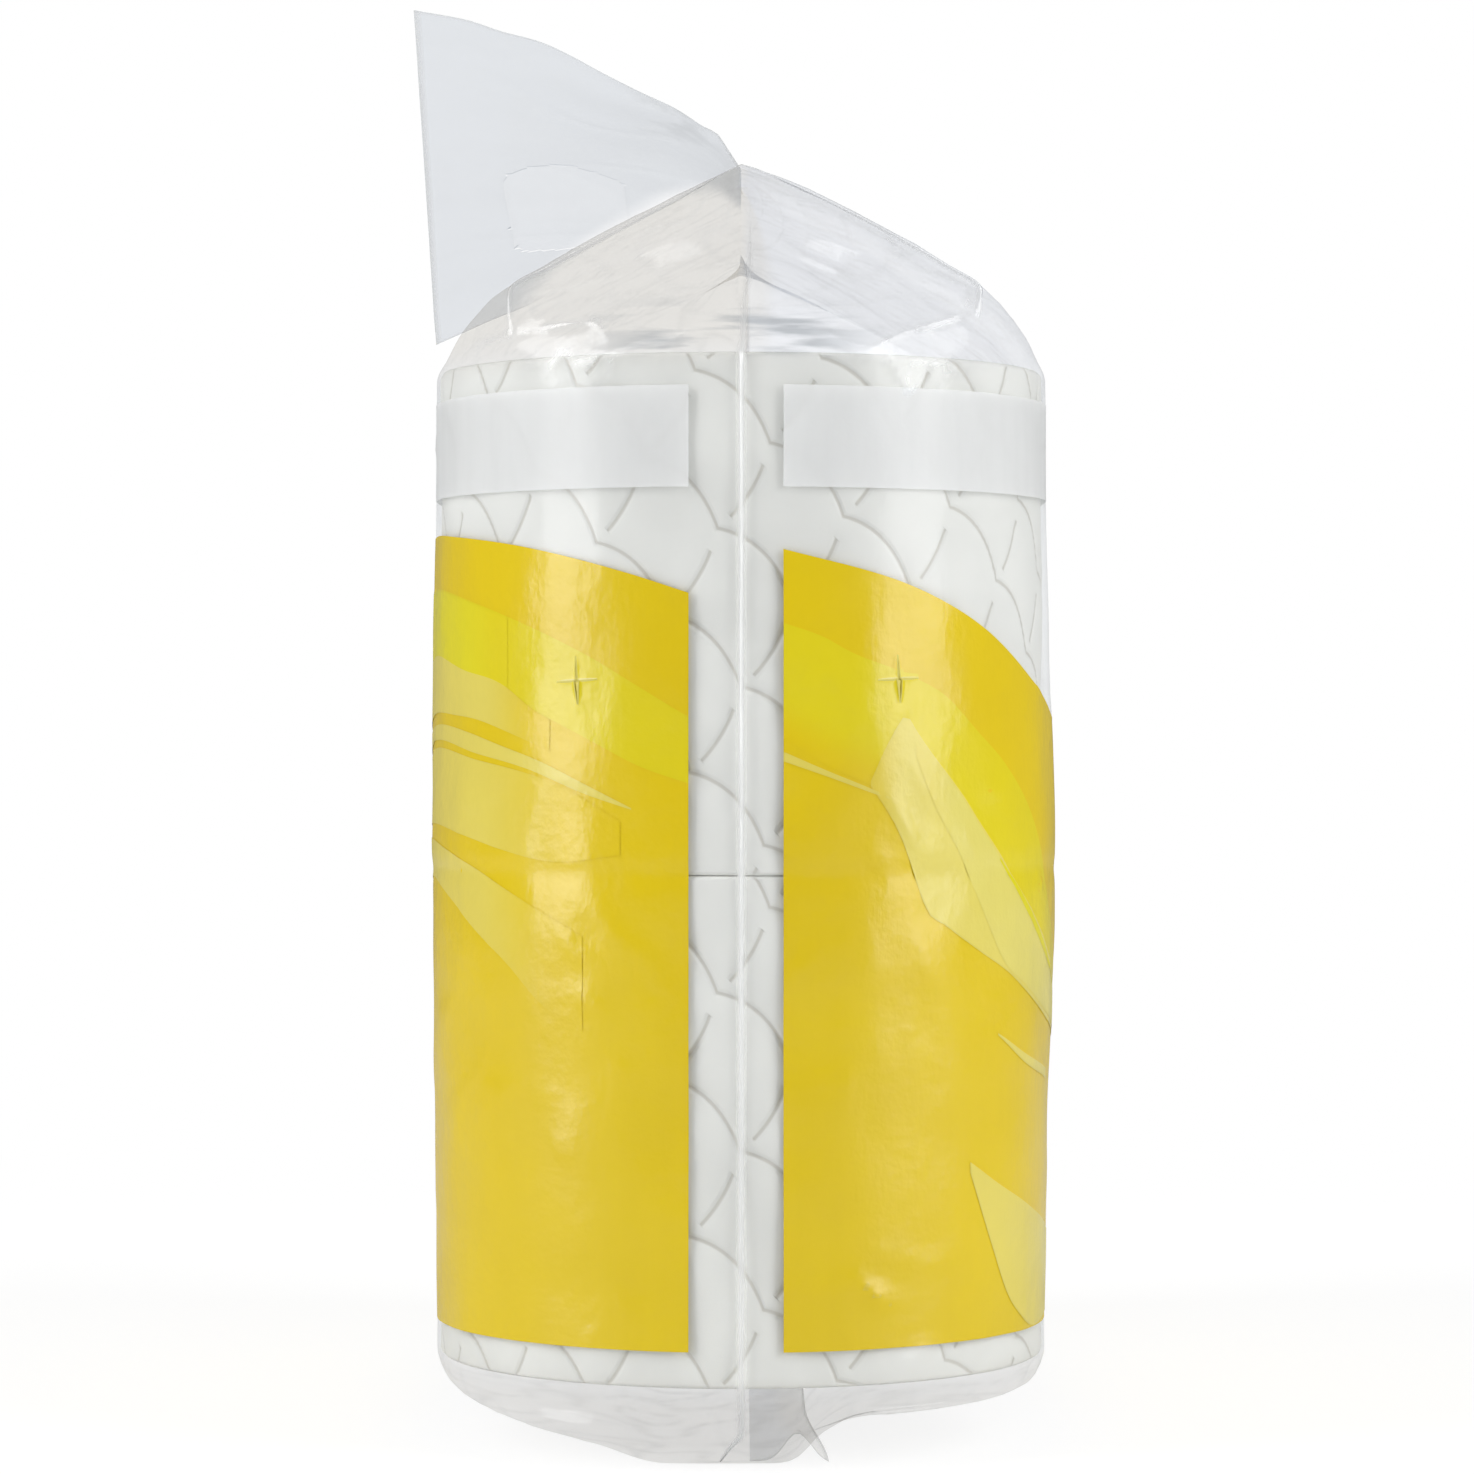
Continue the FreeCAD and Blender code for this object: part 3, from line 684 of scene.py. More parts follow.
def make_piece(name, patches, finishes, slot, replaced=()):
    """A welded piece from patches: each a grid of points, its UVs, its named attributes and its finish."""
    points, faces, uvs, which, attributes = [], [], [], [], {}
    total = 0
    for patch in patches:
        grid = patch["points"]
        squares = grid_faces(*grid.shape[:2], start=total)
        if "keep" in patch:
            squares = squares[patch["keep"].reshape(-1)]
        faces.append(squares)
        points.append(grid.reshape(-1, 3))
        uvs.append(patch["uv"].reshape(-1, 2) / UV_SPAN)
        which.append(np.full(len(squares), patch.get("finish", 0)))
        for key, values in patch.get("attributes", {}).items():
            values = np.broadcast_to(values, grid.shape[:2])
            attributes.setdefault(key, []).append((total, values.reshape(-1)))
        total += grid.shape[0] * grid.shape[1]
    points, faces, uvs = np.concatenate(points), np.concatenate(faces), np.concatenate(uvs)
    mesh = bpy.data.meshes.new(name)
    mesh.from_pydata((points * MM).tolist(), [], faces.tolist())
    mesh.uv_layers.new(name=WRAP).data.foreach_set("uv", uvs[faces.reshape(-1)].astype(np.float32).reshape(-1))
    for key, chunks in attributes.items():
        values = np.zeros(total, np.float32)
        for start, chunk in chunks:
            values[start:start + len(chunk)] = chunk
        mesh.attributes.new(key, "FLOAT", "POINT").data.foreach_set("value", values)
    mesh.polygons.foreach_set("material_index", np.concatenate(which).astype(np.int32))
    for finish in finishes:
        mesh.materials.append(finish)
    weld(mesh)
    mesh.polygons.foreach_set("use_smooth", np.ones(len(mesh.polygons), bool))
    piece = add_object(name, mesh)
    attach(piece, ROOT)
    if replaced:
        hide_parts(*replaced)
    return piece


def weld(mesh):
    """Joins points that lie together, such as the two ends of a closed section, and drops what is left over."""
    work = bmesh.new()
    work.from_mesh(mesh)
    bmesh.ops.remove_doubles(work, verts=work.verts, dist=WELD)
    bmesh.ops.delete(work, geom=[v for v in work.verts if not v.link_faces], context="VERTS")
    work.to_mesh(mesh)
    work.free()


def line(start, stop, step):
    """Numbers from start to stop, about a step apart."""
    return np.linspace(start, stop, max(2, round(abs(stop - start) / step) + 1))


def quarter_turn(count):
    """Cosine and sine at equal steps to a right angle, without the start."""
    return [(math.cos(a), math.sin(a)) for a in np.linspace(0, math.pi / 2, count)[1:]]


def corner(r, z, size, ways):
    """Rows of a roll's profile round a rounded corner with its centre at (r, z), one for each outward way."""
    return [(r + size * out, z + size * up, out, up, max(out, 0.0)) for out, up in ways]


def roll_profile(radius, bore, height, step):
    """Closed half section of a wound roll from the foot of its side, up, over, down the bore and back.

    Columns: radius, height, outward radius and height parts of the normal, 1 on the side and 0 on the ends.
    """
    edge_r, lip_r = radius - ROLL_EDGE, bore + ROLL_LIP
    ends = line(edge_r, lip_r, 1.5)[1:]
    edge, lip = quarter_turn(5), quarter_turn(4)
    return np.array([
        *((radius, z, 1, 0, 1) for z in line(ROLL_EDGE, height - ROLL_EDGE, step)),
        *corner(edge_r, height - ROLL_EDGE, ROLL_EDGE, edge),
        *((r, height, 0, 1, 0) for r in ends),
        *corner(lip_r, height - ROLL_LIP, ROLL_LIP, [(-s, c) for c, s in lip]),
        *((bore, z, -1, 0, 0) for z in line(height - ROLL_LIP, ROLL_LIP, 6.0)[1:]),
        *corner(lip_r, ROLL_LIP, ROLL_LIP, [(-c, -s) for c, s in lip]),
        *((r, 0, 0, -1, 0) for r in (*ends[::-1][1:], edge_r)),
        *corner(edge_r, ROLL_EDGE, ROLL_EDGE, [(s, -c) for c, s in edge]),
    ])


def closed(grid):
    """A grid with its first row again after its last."""
    return np.concatenate([grid, grid[:1]])


def paper_roll(centre_y, bottom, height, radius, bore, node_place, step, seed):
    """Wound roll with embossed sides: its profile turned round its axis, plus its relief.

    The side is pressed in along the arcs and stands up softly between them. An end rises and falls with
    the angle plus the radius, which makes a slow spiral of turns.
    """
    r, z, out, top, side = (column[:, None] for column in roll_profile(radius, bore, height, step).T)
    turn = line(-math.pi, math.pi, step / radius)[None, :]
    across, up = turn * radius - node_place[0], z + bottom - node_place[1]
    arc, dash = emboss_lines(across, up, ease, lambda v: v - np.floor(v), np.abs)
    near = np.minimum(arc, dash)
    pressed = -0.26 * hump(near, 0, 0.9) - 0.2 * hump(near, 0, 3.4)
    flat = spread(r * np.sin(turn), centre_y - r * np.cos(turn), z + bottom)
    soft = 0.14 * ripple(flat, 24, seed) - 0.14
    spiral = turn / (2 * math.pi) + (r - bore) / 6.5
    swirl = -0.28 - 0.22 * np.cos(2 * math.pi * spiral) + 0.10 * ripple(flat, 9, seed + 1, (1, 1, 9))
    loose = -0.5 * hump((spiral / 3.0) % 1, 0.5, 0.05)
    inward = ease(radius - r, 1.5, 9)
    relief = side * (pressed + soft) + (1 - side) * ((swirl + loose) * inward - 0.05) * np.abs(top)
    normal = spread(out * np.sin(turn), -out * np.cos(turn), top)
    return {"points": closed(flat + normal * relief[..., None]),
            "uv": closed(spread(across, up)),
            "attributes": {"side": closed(side), "turn": closed(r / radius * 0.2 + turn * 0.002)}}


def card_tube(centre_y, bottom, height, radius, wall):
    """Core tube: a thin closed ring section turned round its axis, with a raised spiral seam."""
    gap, soft = 0.5, 0.2
    low, high = bottom + gap, bottom + height - gap
    rise = line(low + soft, high - soft, 2.2)
    inner = radius - wall
    loop = [(radius, z, 1) for z in rise]
    loop += [(radius - soft, high, 0), (inner + soft, high, 0)]
    loop += [(inner, z, -1) for z in rise[::-1]]
    loop += [(inner + soft, low, 0), (radius - soft, low, 0), (radius, rise[0], 1)]
    r, z, out = (column[:, None] for column in np.array(loop).T)
    turn = line(-math.pi, math.pi, 0.06)[None, :]
    spiral = ((turn * radius + z * 1.9) / (2 * math.pi * radius)) % 1
    reach = r + np.minimum(-out * 0.12 * hump(spiral, 0.5, 0.02), 0)
    return {"points": spread(reach * np.sin(turn), centre_y - reach * np.cos(turn), z),
            "uv": spread(turn * radius, z)}


def running_total(lengths):
    """Distances from the start to each end of a chain of lengths, the start included."""
    return np.concatenate([[0], np.cumsum(lengths)])


def bag_rows(step):
    """Level values for each row of the film, about a step apart along the film."""
    moves = np.diff(LEVELS[:, [0, 1, 5]], axis=0)
    knots = running_total(np.maximum(np.linalg.norm(moves, axis=1), 0.4))
    return pchip(knots, LEVELS, line(0, knots[-1], step))


def bag_columns(step):
    """Distances round the bag from the back crease, by the left, the front and the right, to the back.

    Points lie closer together on the front half circle, and there is one on every fold.
    """
    half = np.concatenate([
        NEAR_CREASE,
        line(CREASE_CLEAR, FOLD_DISTANCE, step * 0.78),
        line(FOLD_DISTANCE, QUARTER, step)[1:],
        line(QUARTER, QUARTER + FLAT, step * 1.5)[1:],
        line(QUARTER + FLAT, HALF_ROUND - FOLD_DISTANCE, step * 1.3)[1:],
        line(HALF_ROUND - FOLD_DISTANCE, HALF_ROUND - CREASE_CLEAR, step * 1.2)[1:],
        HALF_ROUND - NEAR_CREASE[::-1],
    ])
    return np.concatenate([-half[::-1], half[1:]])


def bag_patch(step, seed):
    """The whole bag without its fins, as one closed grid with its reliefs along its normals.

    Its film whitens along creases, folds and the hem, and in crumples. Along the creases and folds the white is
    partly a painted highlight, and the glare near the rolls' tops is a painted highlight. Above the rolls it is
    tinted darker in streaks, which is painted shade. It is folded where a tucked gusset lies behind it, in the
    tent's left half and in the base.
    """
    rows, across = bag_rows(step), bag_columns(step)
    points = bag_ring(rows, across)
    up = np.repeat(rows[:, :1], across.size, axis=1)
    around = np.repeat(across[None, :], len(rows), axis=0)
    normal = grid_normals(points)
    normal[:, :1] = normal[:, -1:] = (normal[:, :1] + normal[:, -1:]) / 2
    relief = film_relief(points, around, up, seed) + loose_relief(points, around, up, seed)
    moved = points + normal * (relief * band(up, (0.4, 2.5), (247, 249.8)))[..., None]
    moved[..., 2] += ease(points[..., 0], 4, 26) * np.maximum(12.5 - up, 0) * 0.72 * ease(up, 0.3, 2.0)
    tent, base = ease(up, 209, 218), 1 - ease(up, 12, 20)
    # Crumples and the hem whiten the film. Along the creases, the hip folds and the known tent creases the white
    # is partly a painted highlight, and the glare near the rolls' tops is a painted highlight.
    crease = (hump(crease_distance(around), 0, 0.65) * (1 - 0.55 * ease(up, 210, 216))
              * (1 - ease(up, 228, 246)))
    crumpled = 0.12 * folds(points, 18, seed + 21) * (tent + base)
    fold_line = 0.45 * hump(np.abs(around), FOLD_DISTANCE, 1.2) * ease(up, 215, 226)
    known = 0.35 * crease_lines(around, up, TENT_CREASES)
    hem = 0.45 * hump(up, 15.4, 0.5)
    gloss = np.maximum(hump(around, -34, 11), hump(around, 36, 9)) * hump(up, 210.5, 4.5)
    glare = 0.6 * folds(points, 11, seed + 22) * gloss
    return {"points": moved, "uv": spread(around, up), "attributes": {
        "whitening_and_glint": np.clip(crease + crumpled + fold_line + known + hem + glare, 0, 1),
        "loose": np.clip(tent + base, 0, 1),
        "folded": np.maximum(tent * (1 - ease(around, 3.0, 7.0)), base * 0.7),
        # Painted shade: dark streaks in the film above the rolls' tops.
        "streak": band(up, (211, 214), (219, 226)) * ease(np.abs(around + 2), 34, 12)}}


# The top fin: its section at its front and at its back edge, as (x, height) from the ridge to the cut edge,
# its length from ridge to cut edge, half its length along the ridge, and the slot's middle in x and y.
FIN_FRONT = (
    (0, 249), (-3, 253.4), (-7.9, 257.6), (-12.7, 260.8), (-19.4, 263.9), (-27, 267.7), (-32, 270.4),
    (-38.6, 273.5), (-46.3, 275.6), (-52.6, 277.7), (-62.9, 279.6),
)
FIN_BACK = ((0, 249), (-9, 253.0), (-22, 251.5), (-38, 247.5), (-56, 240.6), (-72.5, 233.5))
FIN_LENGTH = 78.0
FIN_HALF_LENGTH = 108.0
SLOT_CENTRE = (-38.0, 24.0)

# Half the length of the small base fin, and what moves the UVs of both fins off those of the bag.
BASE_FIN_HALF_LENGTH = 107.0
FIN_UV_SHIFT = (300.0, 260.0)


def even_curve(points, count):
    """A number of points at equal steps along a smooth curve through the given ones."""
    table = np.array(points, float)
    knots = running_total(np.linalg.norm(np.diff(table, axis=0), axis=1))
    return pchip(knots, table, np.linspace(0, knots[-1], count))


def fin_patches(sizes, step, seed):
    """Top fin: a leaf ruled from its front edge to its back edge, with waves that grow towards its cut edge.

    The carry slot is cut out of it: points near the slot's outline are drawn onto it, and the squares
    inside make its flap, which hangs by one long edge and stands a little off the leaf.
    """
    columns = line(-FIN_HALF_LENGTH, FIN_HALF_LENGTH, step)
    count = round(FIN_LENGTH / step)
    front, back = even_curve(FIN_FRONT, count), even_curve(FIN_BACK, count)
    way = np.linspace(0, 1, count)[:, None]
    from_root = way * FIN_LENGTH
    share = ((columns + FIN_HALF_LENGTH) / (2 * FIN_HALF_LENGTH))[None, :]
    x = front[:, :1] * (1 - share) + back[:, :1] * share
    z = front[:, 1:] * (1 - share) + back[:, 1:] * share
    y = np.repeat(columns[None, :], count, axis=0)
    half = mm(sizes.slot_length - sizes.slot_width) / 2
    reach = mm(sizes.slot_width) / 2
    from_x, from_y = x - SLOT_CENTRE[0], y - SLOT_CENTRE[1]
    over = np.sign(from_y) * np.maximum(np.abs(from_y) - half, 0)
    gap = np.hypot(from_x, over)
    near = np.abs(gap - reach) < step * 0.62
    scale = np.where(near, reach / np.maximum(gap, 1e-6), 1)
    x = np.where(near, SLOT_CENTRE[0] + from_x * scale, x)
    y = np.where(near, y - over + over * scale, y)
    points = spread(x, y, z)
    sway = (1.1 * ripple(points, 110, seed + 31) + 0.25 * ripple(points, 40, seed + 32)
            + 0.25 * folds(points, 50, seed + 33))
    edge = ease(way, 0.0, 0.35) * (1 - 0.75 * ease(way, 0.9, 1.0))
    inside = 1 - 0.8 * ease(np.abs(columns), 96, FIN_HALF_LENGTH)[None, :]
    normal = grid_normals(points)
    root_fold = 0.7 * hump(from_root, 9, 2.4) * ease(share, 0.07, 0.0)
    points = points + normal * (sway * edge * inside + root_fold)[..., None]
    hole = gap < reach - step * 0.3
    in_hole = hole[:-1, :-1] | hole[:-1, 1:] | hole[1:, :-1] | hole[1:, 1:]
    # Partly a painted highlight: the slot's edge is whitened where it catches the light.
    rim = 0.05 * hump(gap, reach, 0.7)
    weld_band = 0.16 * hump(from_root, 4.0, 2.0)
    cut = 0.5 * ease(way, 0.985, 1.0) + 0.4 * ease(np.abs(columns), 107, FIN_HALF_LENGTH)[None, :]
    # Painted highlight: a glint whitened into the fin's front corner at its root.
    glint = 0.7 * ease(from_root + np.abs(columns + FIN_HALF_LENGTH)[None, :] * 1.6, 13, 9)
    whitening_and_glint = np.clip(rim + weld_band + cut + glint, 0, 0.8)
    hang = np.clip((reach - from_x) / (2 * reach), 0, 1) * 0.1 + 0.08
    behind = ease(share - 0.0135 * np.abs(x), 0.22, 0.36)
    # Painted shade: a darker streak of tint near the root, for the shade of fine folds there.
    streak = 0.45 * hump(from_root, 19, 9) * ease(share, 0.3, 0.05)
    uv = spread(y + FIN_UV_SHIFT[0], from_root + FIN_UV_SHIFT[1])
    return [{"points": points, "uv": uv, "keep": ~in_hole, "finish": 1,
             "attributes": {"whitening_and_glint": whitening_and_glint * (1 - behind), "plain": behind, "streak": streak}},
            {"points": points + normal * hang[..., None], "uv": uv, "keep": in_hole, "finish": 1,
             "attributes": {"whitening_and_glint": rim, "loose": 0.16, "plain": behind}}]


def base_fin_patch(step, seed):
    """Small seal fin under the base: a thin leaf that leans to the right, lifted and notched in front."""
    columns = line(-BASE_FIN_HALF_LENGTH, BASE_FIN_HALF_LENGTH, step)
    share = ((columns + BASE_FIN_HALF_LENGTH) / (2 * BASE_FIN_HALF_LENGTH))[None, :]
    way = np.linspace(0, 1, 15)[:, None]
    front = 1 - ease(share, 0.0, 0.3)
    x = 1.7 + (15.2 - 3.5 * ease(share, 0.0, 0.35)) * way
    notch = 11.0 * hump(way, 0.6, 0.22) * ease(share, 0.12, 0.0)
    y = columns[None, :] + notch
    z = 0.25 + 3.6 * front * hump(way, 0.62, 0.24) + 0.5 * (1 - way)
    points = spread(x, y, z)
    points[..., 2] += 0.25 * (1 + ripple(points, 22, seed + 41)) * np.sin(math.pi * way)
    edge = 0.3 * ease(way, 0.93, 1.0) + 0.3 * ease(share, 0.012, 0.0) + 0.08
    return {"points": points, "uv": spread(points[..., 1] + FIN_UV_SHIFT[0], points[..., 0]),
            "attributes": {"whitening_and_glint": edge, "loose": 1, "folded": 0.8 * ease(way, 0.35, 0.7)}}


class Field(NamedTuple):
    """A field of ink between two outlines on a wide face, at a distance `off` outside the film.

    It has one share of gold, and goes over to a faded share between two distances along the face, and from
    its low outline over a soft share of its height.
    """
    off: float
    low: tuple
    high: tuple
    gold: float = 0.0
    faded: float = 1.0
    fade: tuple = NEVER
    soft: float = 0.0


def printed_field(field, left_face, step, seed):
    """Grid of a field of ink on one wide face.

    Across goes the distance along the face, and up a share of the height between the outlines. The left
    face has the same fields as the right one, turned half round the upright axis.
    """
    low, high, gold = field.low, field.high, field.gold
    along = line(max(low[0][0], high[0][0]), min(low[-1][0], high[-1][0]), step)
    bottom, top = outline_height(low, along), outline_height(high, along)
    share = np.linspace(0, 1, max(3, round(np.max(top - bottom) / step) + 1))[:, None]
    up = bottom + (np.maximum(top, bottom + 0.02) - bottom) * share
    across = np.repeat((along + STRIP_EDGE)[None, :], len(share), axis=0)
    if left_face:
        across = across - HALF_ROUND
    fade = np.maximum(ease(along, *field.fade)[None, :], ease(share, field.soft, 0) if field.soft else 0)
    return {"points": body_point(across, up, field.off, seed), "uv": spread(across, up),
            "attributes": {"fade": gold + (field.faded - gold) * fade, "cut": 0}}


# Vents cut in the print beside the front crease: distance round the bag, height, and where lime turns to gold.
VENTS = ((31.2, 151.1, 152.8), (-33.1, 150.8, 156.5))
VENT_SIZE = 4.6
VENT_OFF = 0.16
VENT_TILT = 0.05

# How wide the arms of a vent gape: right, up, left and down.
VENT_GAPES = (0.04, 0.08, 0.04, 0.42)


def vent_patches(across, up, lime_top, seed):
    """A vent cut as a cross: each arm is a slit between two lips that curl up and end in a painted highlight.

    Along goes from the middle of the cross to an arm's end, and aside from the slit outwards. The lower arm
    gapes, so its lips stand apart and higher. Above the lime field's top the lips are gold. A strip in the slit is
    painted dark as the shade in the gap, darker where the arm gapes, and a strip of pale ink along each lip's edge
    is the painted highlight.
    """
    along, aside = np.linspace(0, 1, 10)[:, None], np.linspace(0, 1, 6)[None, :]
    patches = []
    for number, gape in enumerate(VENT_GAPES):
        turn = number * math.pi / 2 + VENT_TILT
        opening = gape * (1 - along) ** 1.3 + 0.03
        curl = (0.06 + 0.4 * gape) * np.sin(math.pi * (0.25 + 0.75 * along))
        # Painted shade: the middle strip fills the slit and is darkened by its cut value, more where the arm
        # gapes.
        strips = [(opening * (2 * aside - 1), VENT_OFF + 0.06, 0.08 + 0.3 * gape, 0)]
        for side in (-1, 1):
            lip, rim = side * (opening + (1.3 - 0.6 * along) * aside), side * (opening + 0.26 * aside)
            strips.append((lip, VENT_OFF + curl * (1 - aside) ** 2, 0.0, 0))
            # Painted highlight: a strip of pale ink along the lip's edge.
            strips.append((rim, VENT_OFF + curl + 0.05 - 0.08 * aside, 0.0, 1))
        for sideways, rise, cut, finish in strips:
            forward = VENT_SIZE * along
            dx = forward * math.cos(turn) - sideways * math.sin(turn)
            dz = forward * math.sin(turn) + sideways * math.cos(turn)
            points = body_point(across + dx, up + dz, rise + 0 * dx, seed)
            gold = 0.35 + 0.65 * ease(up + dz, lime_top - 0.4, lime_top + 0.4)
            patches.append({"points": points, "uv": spread(across + dx, up + dz), "finish": finish,
                            "attributes": {"fade": 0.1 if finish else gold, "cut": cut}})
    return patches


# Fields of ink, layer by layer: a later one stands further off the film, so that it covers an earlier one.
GOLD_FIELDS = (Field(0.10, PRINT_BOTTOM, GOLD_TOP),)
BAND_FIELDS = (Field(0.12, BAND_LOW, BAND_HIGH),)
LIME_FIELDS = (
    Field(0.15, ((0, 139.5), (9.2, 134.2), (18, 130.5), (30, 126), (39, 118), (49, 108), (62, 98), (73, 93),
                 (90, 84), (112, 73)),
          ((0, 161.6), (8.1, 158.8), (12.8, 156.3), (23.9, 152.4), (34.7, 147.7), (42.2, 141.5), (51.5, 134.5),
           (60.1, 126.3), (67.2, 116.3), (72.3, 107.6), (90, 90), (112, 75)), 0.35, soft=0.4),
    Field(0.15, ((150, 108), (170, 124), (190, 142), (209, 152), (221, 156), (241.7, 152.9), (254.5, 150.1),
                 (264.1, 144.8), (270, 142.3), (279.2, 138.1), (286.3, 134.7), (PANEL, 131.2)),
          ((150, 109), (170, 131), (190, 154), (209, 168.0), (221, 169.4), (247, 165.7), (264.1, 160.5),
           (278.4, 154.3), (285.7, 150.2), (PANEL, 143.8)), 0.35),
    Field(0.19, ((170, 126), (190, 143), (209, 152.5), (221, 156), (241.7, 152.9), (256, 149.6)),
          ((170, 127), (190, 153), (209, 167.4), (221, 169.0), (247, 165.4), (256, 163.0)), 0.0, 0.35, (241, 254)),
    Field(0.29, ((49, 116.1), (56.8, 108.1), (66.5, 99.5), (80, 90.5)),
          ((49, 116.6), (56.8, 109.7), (66.5, 101.3), (80, 91))),
)
PALE_FIELDS = (
    Field(0.20, ((17.2, 130.6), (19.5, 127.6), (23.7, 120.9), (26.6, 114.4), (29.5, 107.5), (34.7, 103.7),
                 (43.1, 98.8), (52.3, 94.2), (59.2, 90.4), (73.3, 84.3), (90, 79), (112, 70)),
          ((17.2, 131.6), (19.5, 136.5), (22.0, 141.0), (24.5, 144.0), (28, 140.2), (31.5, 136.2), (37.4, 130.2),
           (44.7, 122), (55.5, 111.1), (61.7, 106), (69.5, 99.8), (90, 86), (112, 71)), 0.3, 0.7, (25, 17)),
    Field(0.20, ((41, 56), (46, 44), (52, 33), (60, 26), (80, 25), (115, 26)),
          ((41, 58), (50, 53), (60, 49), (75, 44), (95, 38), (115, 31)), 0.35),
    Field(0.20, ((0, 135.4), (8.2, 132.6), (18, 129.2), (25, 126.9)),
          ((0, 137.2), (8.2, 133.7), (18, 129.9), (25, 127.1)), 0.4),
    Field(0.20, ((49, 82.1), (57.7, 77.1), (75.9, 72)), ((49, 82.5), (57.7, 78.7), (75.9, 74)), 0.3),
    Field(0.20, ((165, 104), (180, 118), (200, 136), (221.1, 144.4), (237.3, 144.3), (247, 143.3), (257.5, 140.6),
                 (267.3, 137.3)),
          ((165, 105), (180, 127), (200, 147), (221.1, 156), (241.7, 152.9), (254.5, 150.1), (264.1, 144.8),
           (267.3, 143.4)), 0.36, 1.0, (248, 267)),
    Field(0.20, ((195, 127), (208, 135), (221.1, 139), (247, 136.7), (263, 133.5), (275.7, 129.1), (285.3, 126.2)),
          ((195, 128), (208, 138.2), (221.1, 142), (242.6, 141), (254.5, 138.3), (266.4, 134.8), (275.7, 130.9),
           (285.3, 126.5)), 0.36),
    Field(0.20, ((175, 100), (195, 114), (208, 121), (221.1, 122.8), (241.7, 120.8), (254.5, 118.3),
                 (268.8, 116.1), (283, 117.5)),
          ((175, 101), (195, 124), (208, 133.5), (221.1, 137.4), (247, 135.5), (263, 132.7), (268.8, 131.2),
           (283, 124)), 0.42, 1.0, (246, 276)),
    Field(0.20, ((180, 92), (195, 103), (211.4, 111.3), (237.3, 107.4), (245.4, 102.9), (257.5, 95.4), (265.1, 89),
                 (275, 84)),
          ((180, 93), (195, 112), (211.4, 119.2), (232.7, 117.9), (243.4, 115.2), (254.5, 111.2), (266.4, 106.1),
           (275, 102)), 0.42, 1.0, (246, 271)),
    Field(0.245, ((27, 136.5), (30.9, 127.9), (37.4, 118.3), (44.7, 105.5), (49.7, 97.5), (59.2, 91.6),
                  (73.3, 85.5), (90, 80)),
          ((27, 138.6), (28.5, 137.5), (37.4, 129.5), (44.7, 121.3), (55.5, 110.4), (61.7, 105.3), (69.5, 99.1),
           (90, 85)), 0.14, 0.35, (38, 28)),
)


def both_faces(fields, step, seed):
    return [printed_field(field, left_face, step, seed) for field in fields for left_face in (False, True)]


def roll_places(sizes):
    """For each of the four rolls: its name, its layer's number, its y, its bottom and its height."""
    bottom = mm(sizes.roll_bottom)
    heights = mm(sizes.lower_height), mm(sizes.upper_height)
    for number, (layer, height) in enumerate(zip(("lower", "upper"), heights)):
        for end, centre_y in (("front", -ROLL_CENTRE_Y), ("back", ROLL_CENTRE_Y)):
            yield layer + "_" + end, number, centre_y, bottom, height
        bottom += height


class ROLLPACK_OT_paper(Operator):
    """Make the wound, embossed paper of the four rolls."""
    bl_idname = "roll_pack.make_paper"
    bl_label = "Paper Rolls"

    def execute(self, context):
        sizes, colours = context.scene.roll_pack_sizes, context.scene.roll_pack_colours
        finish = paper_finish(colours)
        for name, number, centre_y, bottom, height in roll_places(sizes):
            grid = paper_roll(centre_y, bottom, height, mm(sizes.roll_radius), mm(sizes.core_radius) + 0.06,
                              ARC_NODES[number], mm(sizes.paper_step), sizes.seed + 50 + number)
            make_piece(name + "_paper", [grid], [finish], "tissue", (name + "_roll",))
        return {"FINISHED"}


class ROLLPACK_OT_cores(Operator):
    """Make the card cores."""
    bl_idname = "roll_pack.make_cores"
    bl_label = "Card Cores"

    def execute(self, context):
        sizes, colours = context.scene.roll_pack_sizes, context.scene.roll_pack_colours
        finish = card_finish(colours)
        for name, _, centre_y, bottom, height in roll_places(sizes):
            tube = card_tube(centre_y, bottom, height, mm(sizes.core_radius), mm(sizes.core_wall))
            make_piece(name + "_card", [tube], [finish], "core_card", (name + "_core",))
        return {"FINISHED"}


class ROLLPACK_OT_film(Operator):
    """Make the clear film bag with its gussets, gable, fins and carry slot."""
    bl_idname = "roll_pack.make_film"
    bl_label = "Film Bag"

    def execute(self, context):
        sizes, colours = context.scene.roll_pack_sizes, context.scene.roll_pack_colours
        step, seed = mm(sizes.mesh_step), sizes.seed
        finishes = [film_finish("clear_film", colours.film, colours, haze=0.025),
                    film_finish("welded_film", colours.fin, colours, haze=0.04)]
        patches = [bag_patch(step, seed), *fin_patches(sizes, step, seed), base_fin_patch(step * 2, seed)]
        make_piece("clear_bag", patches, finishes, "clear_film", ("film_bag",))
        return {"FINISHED"}


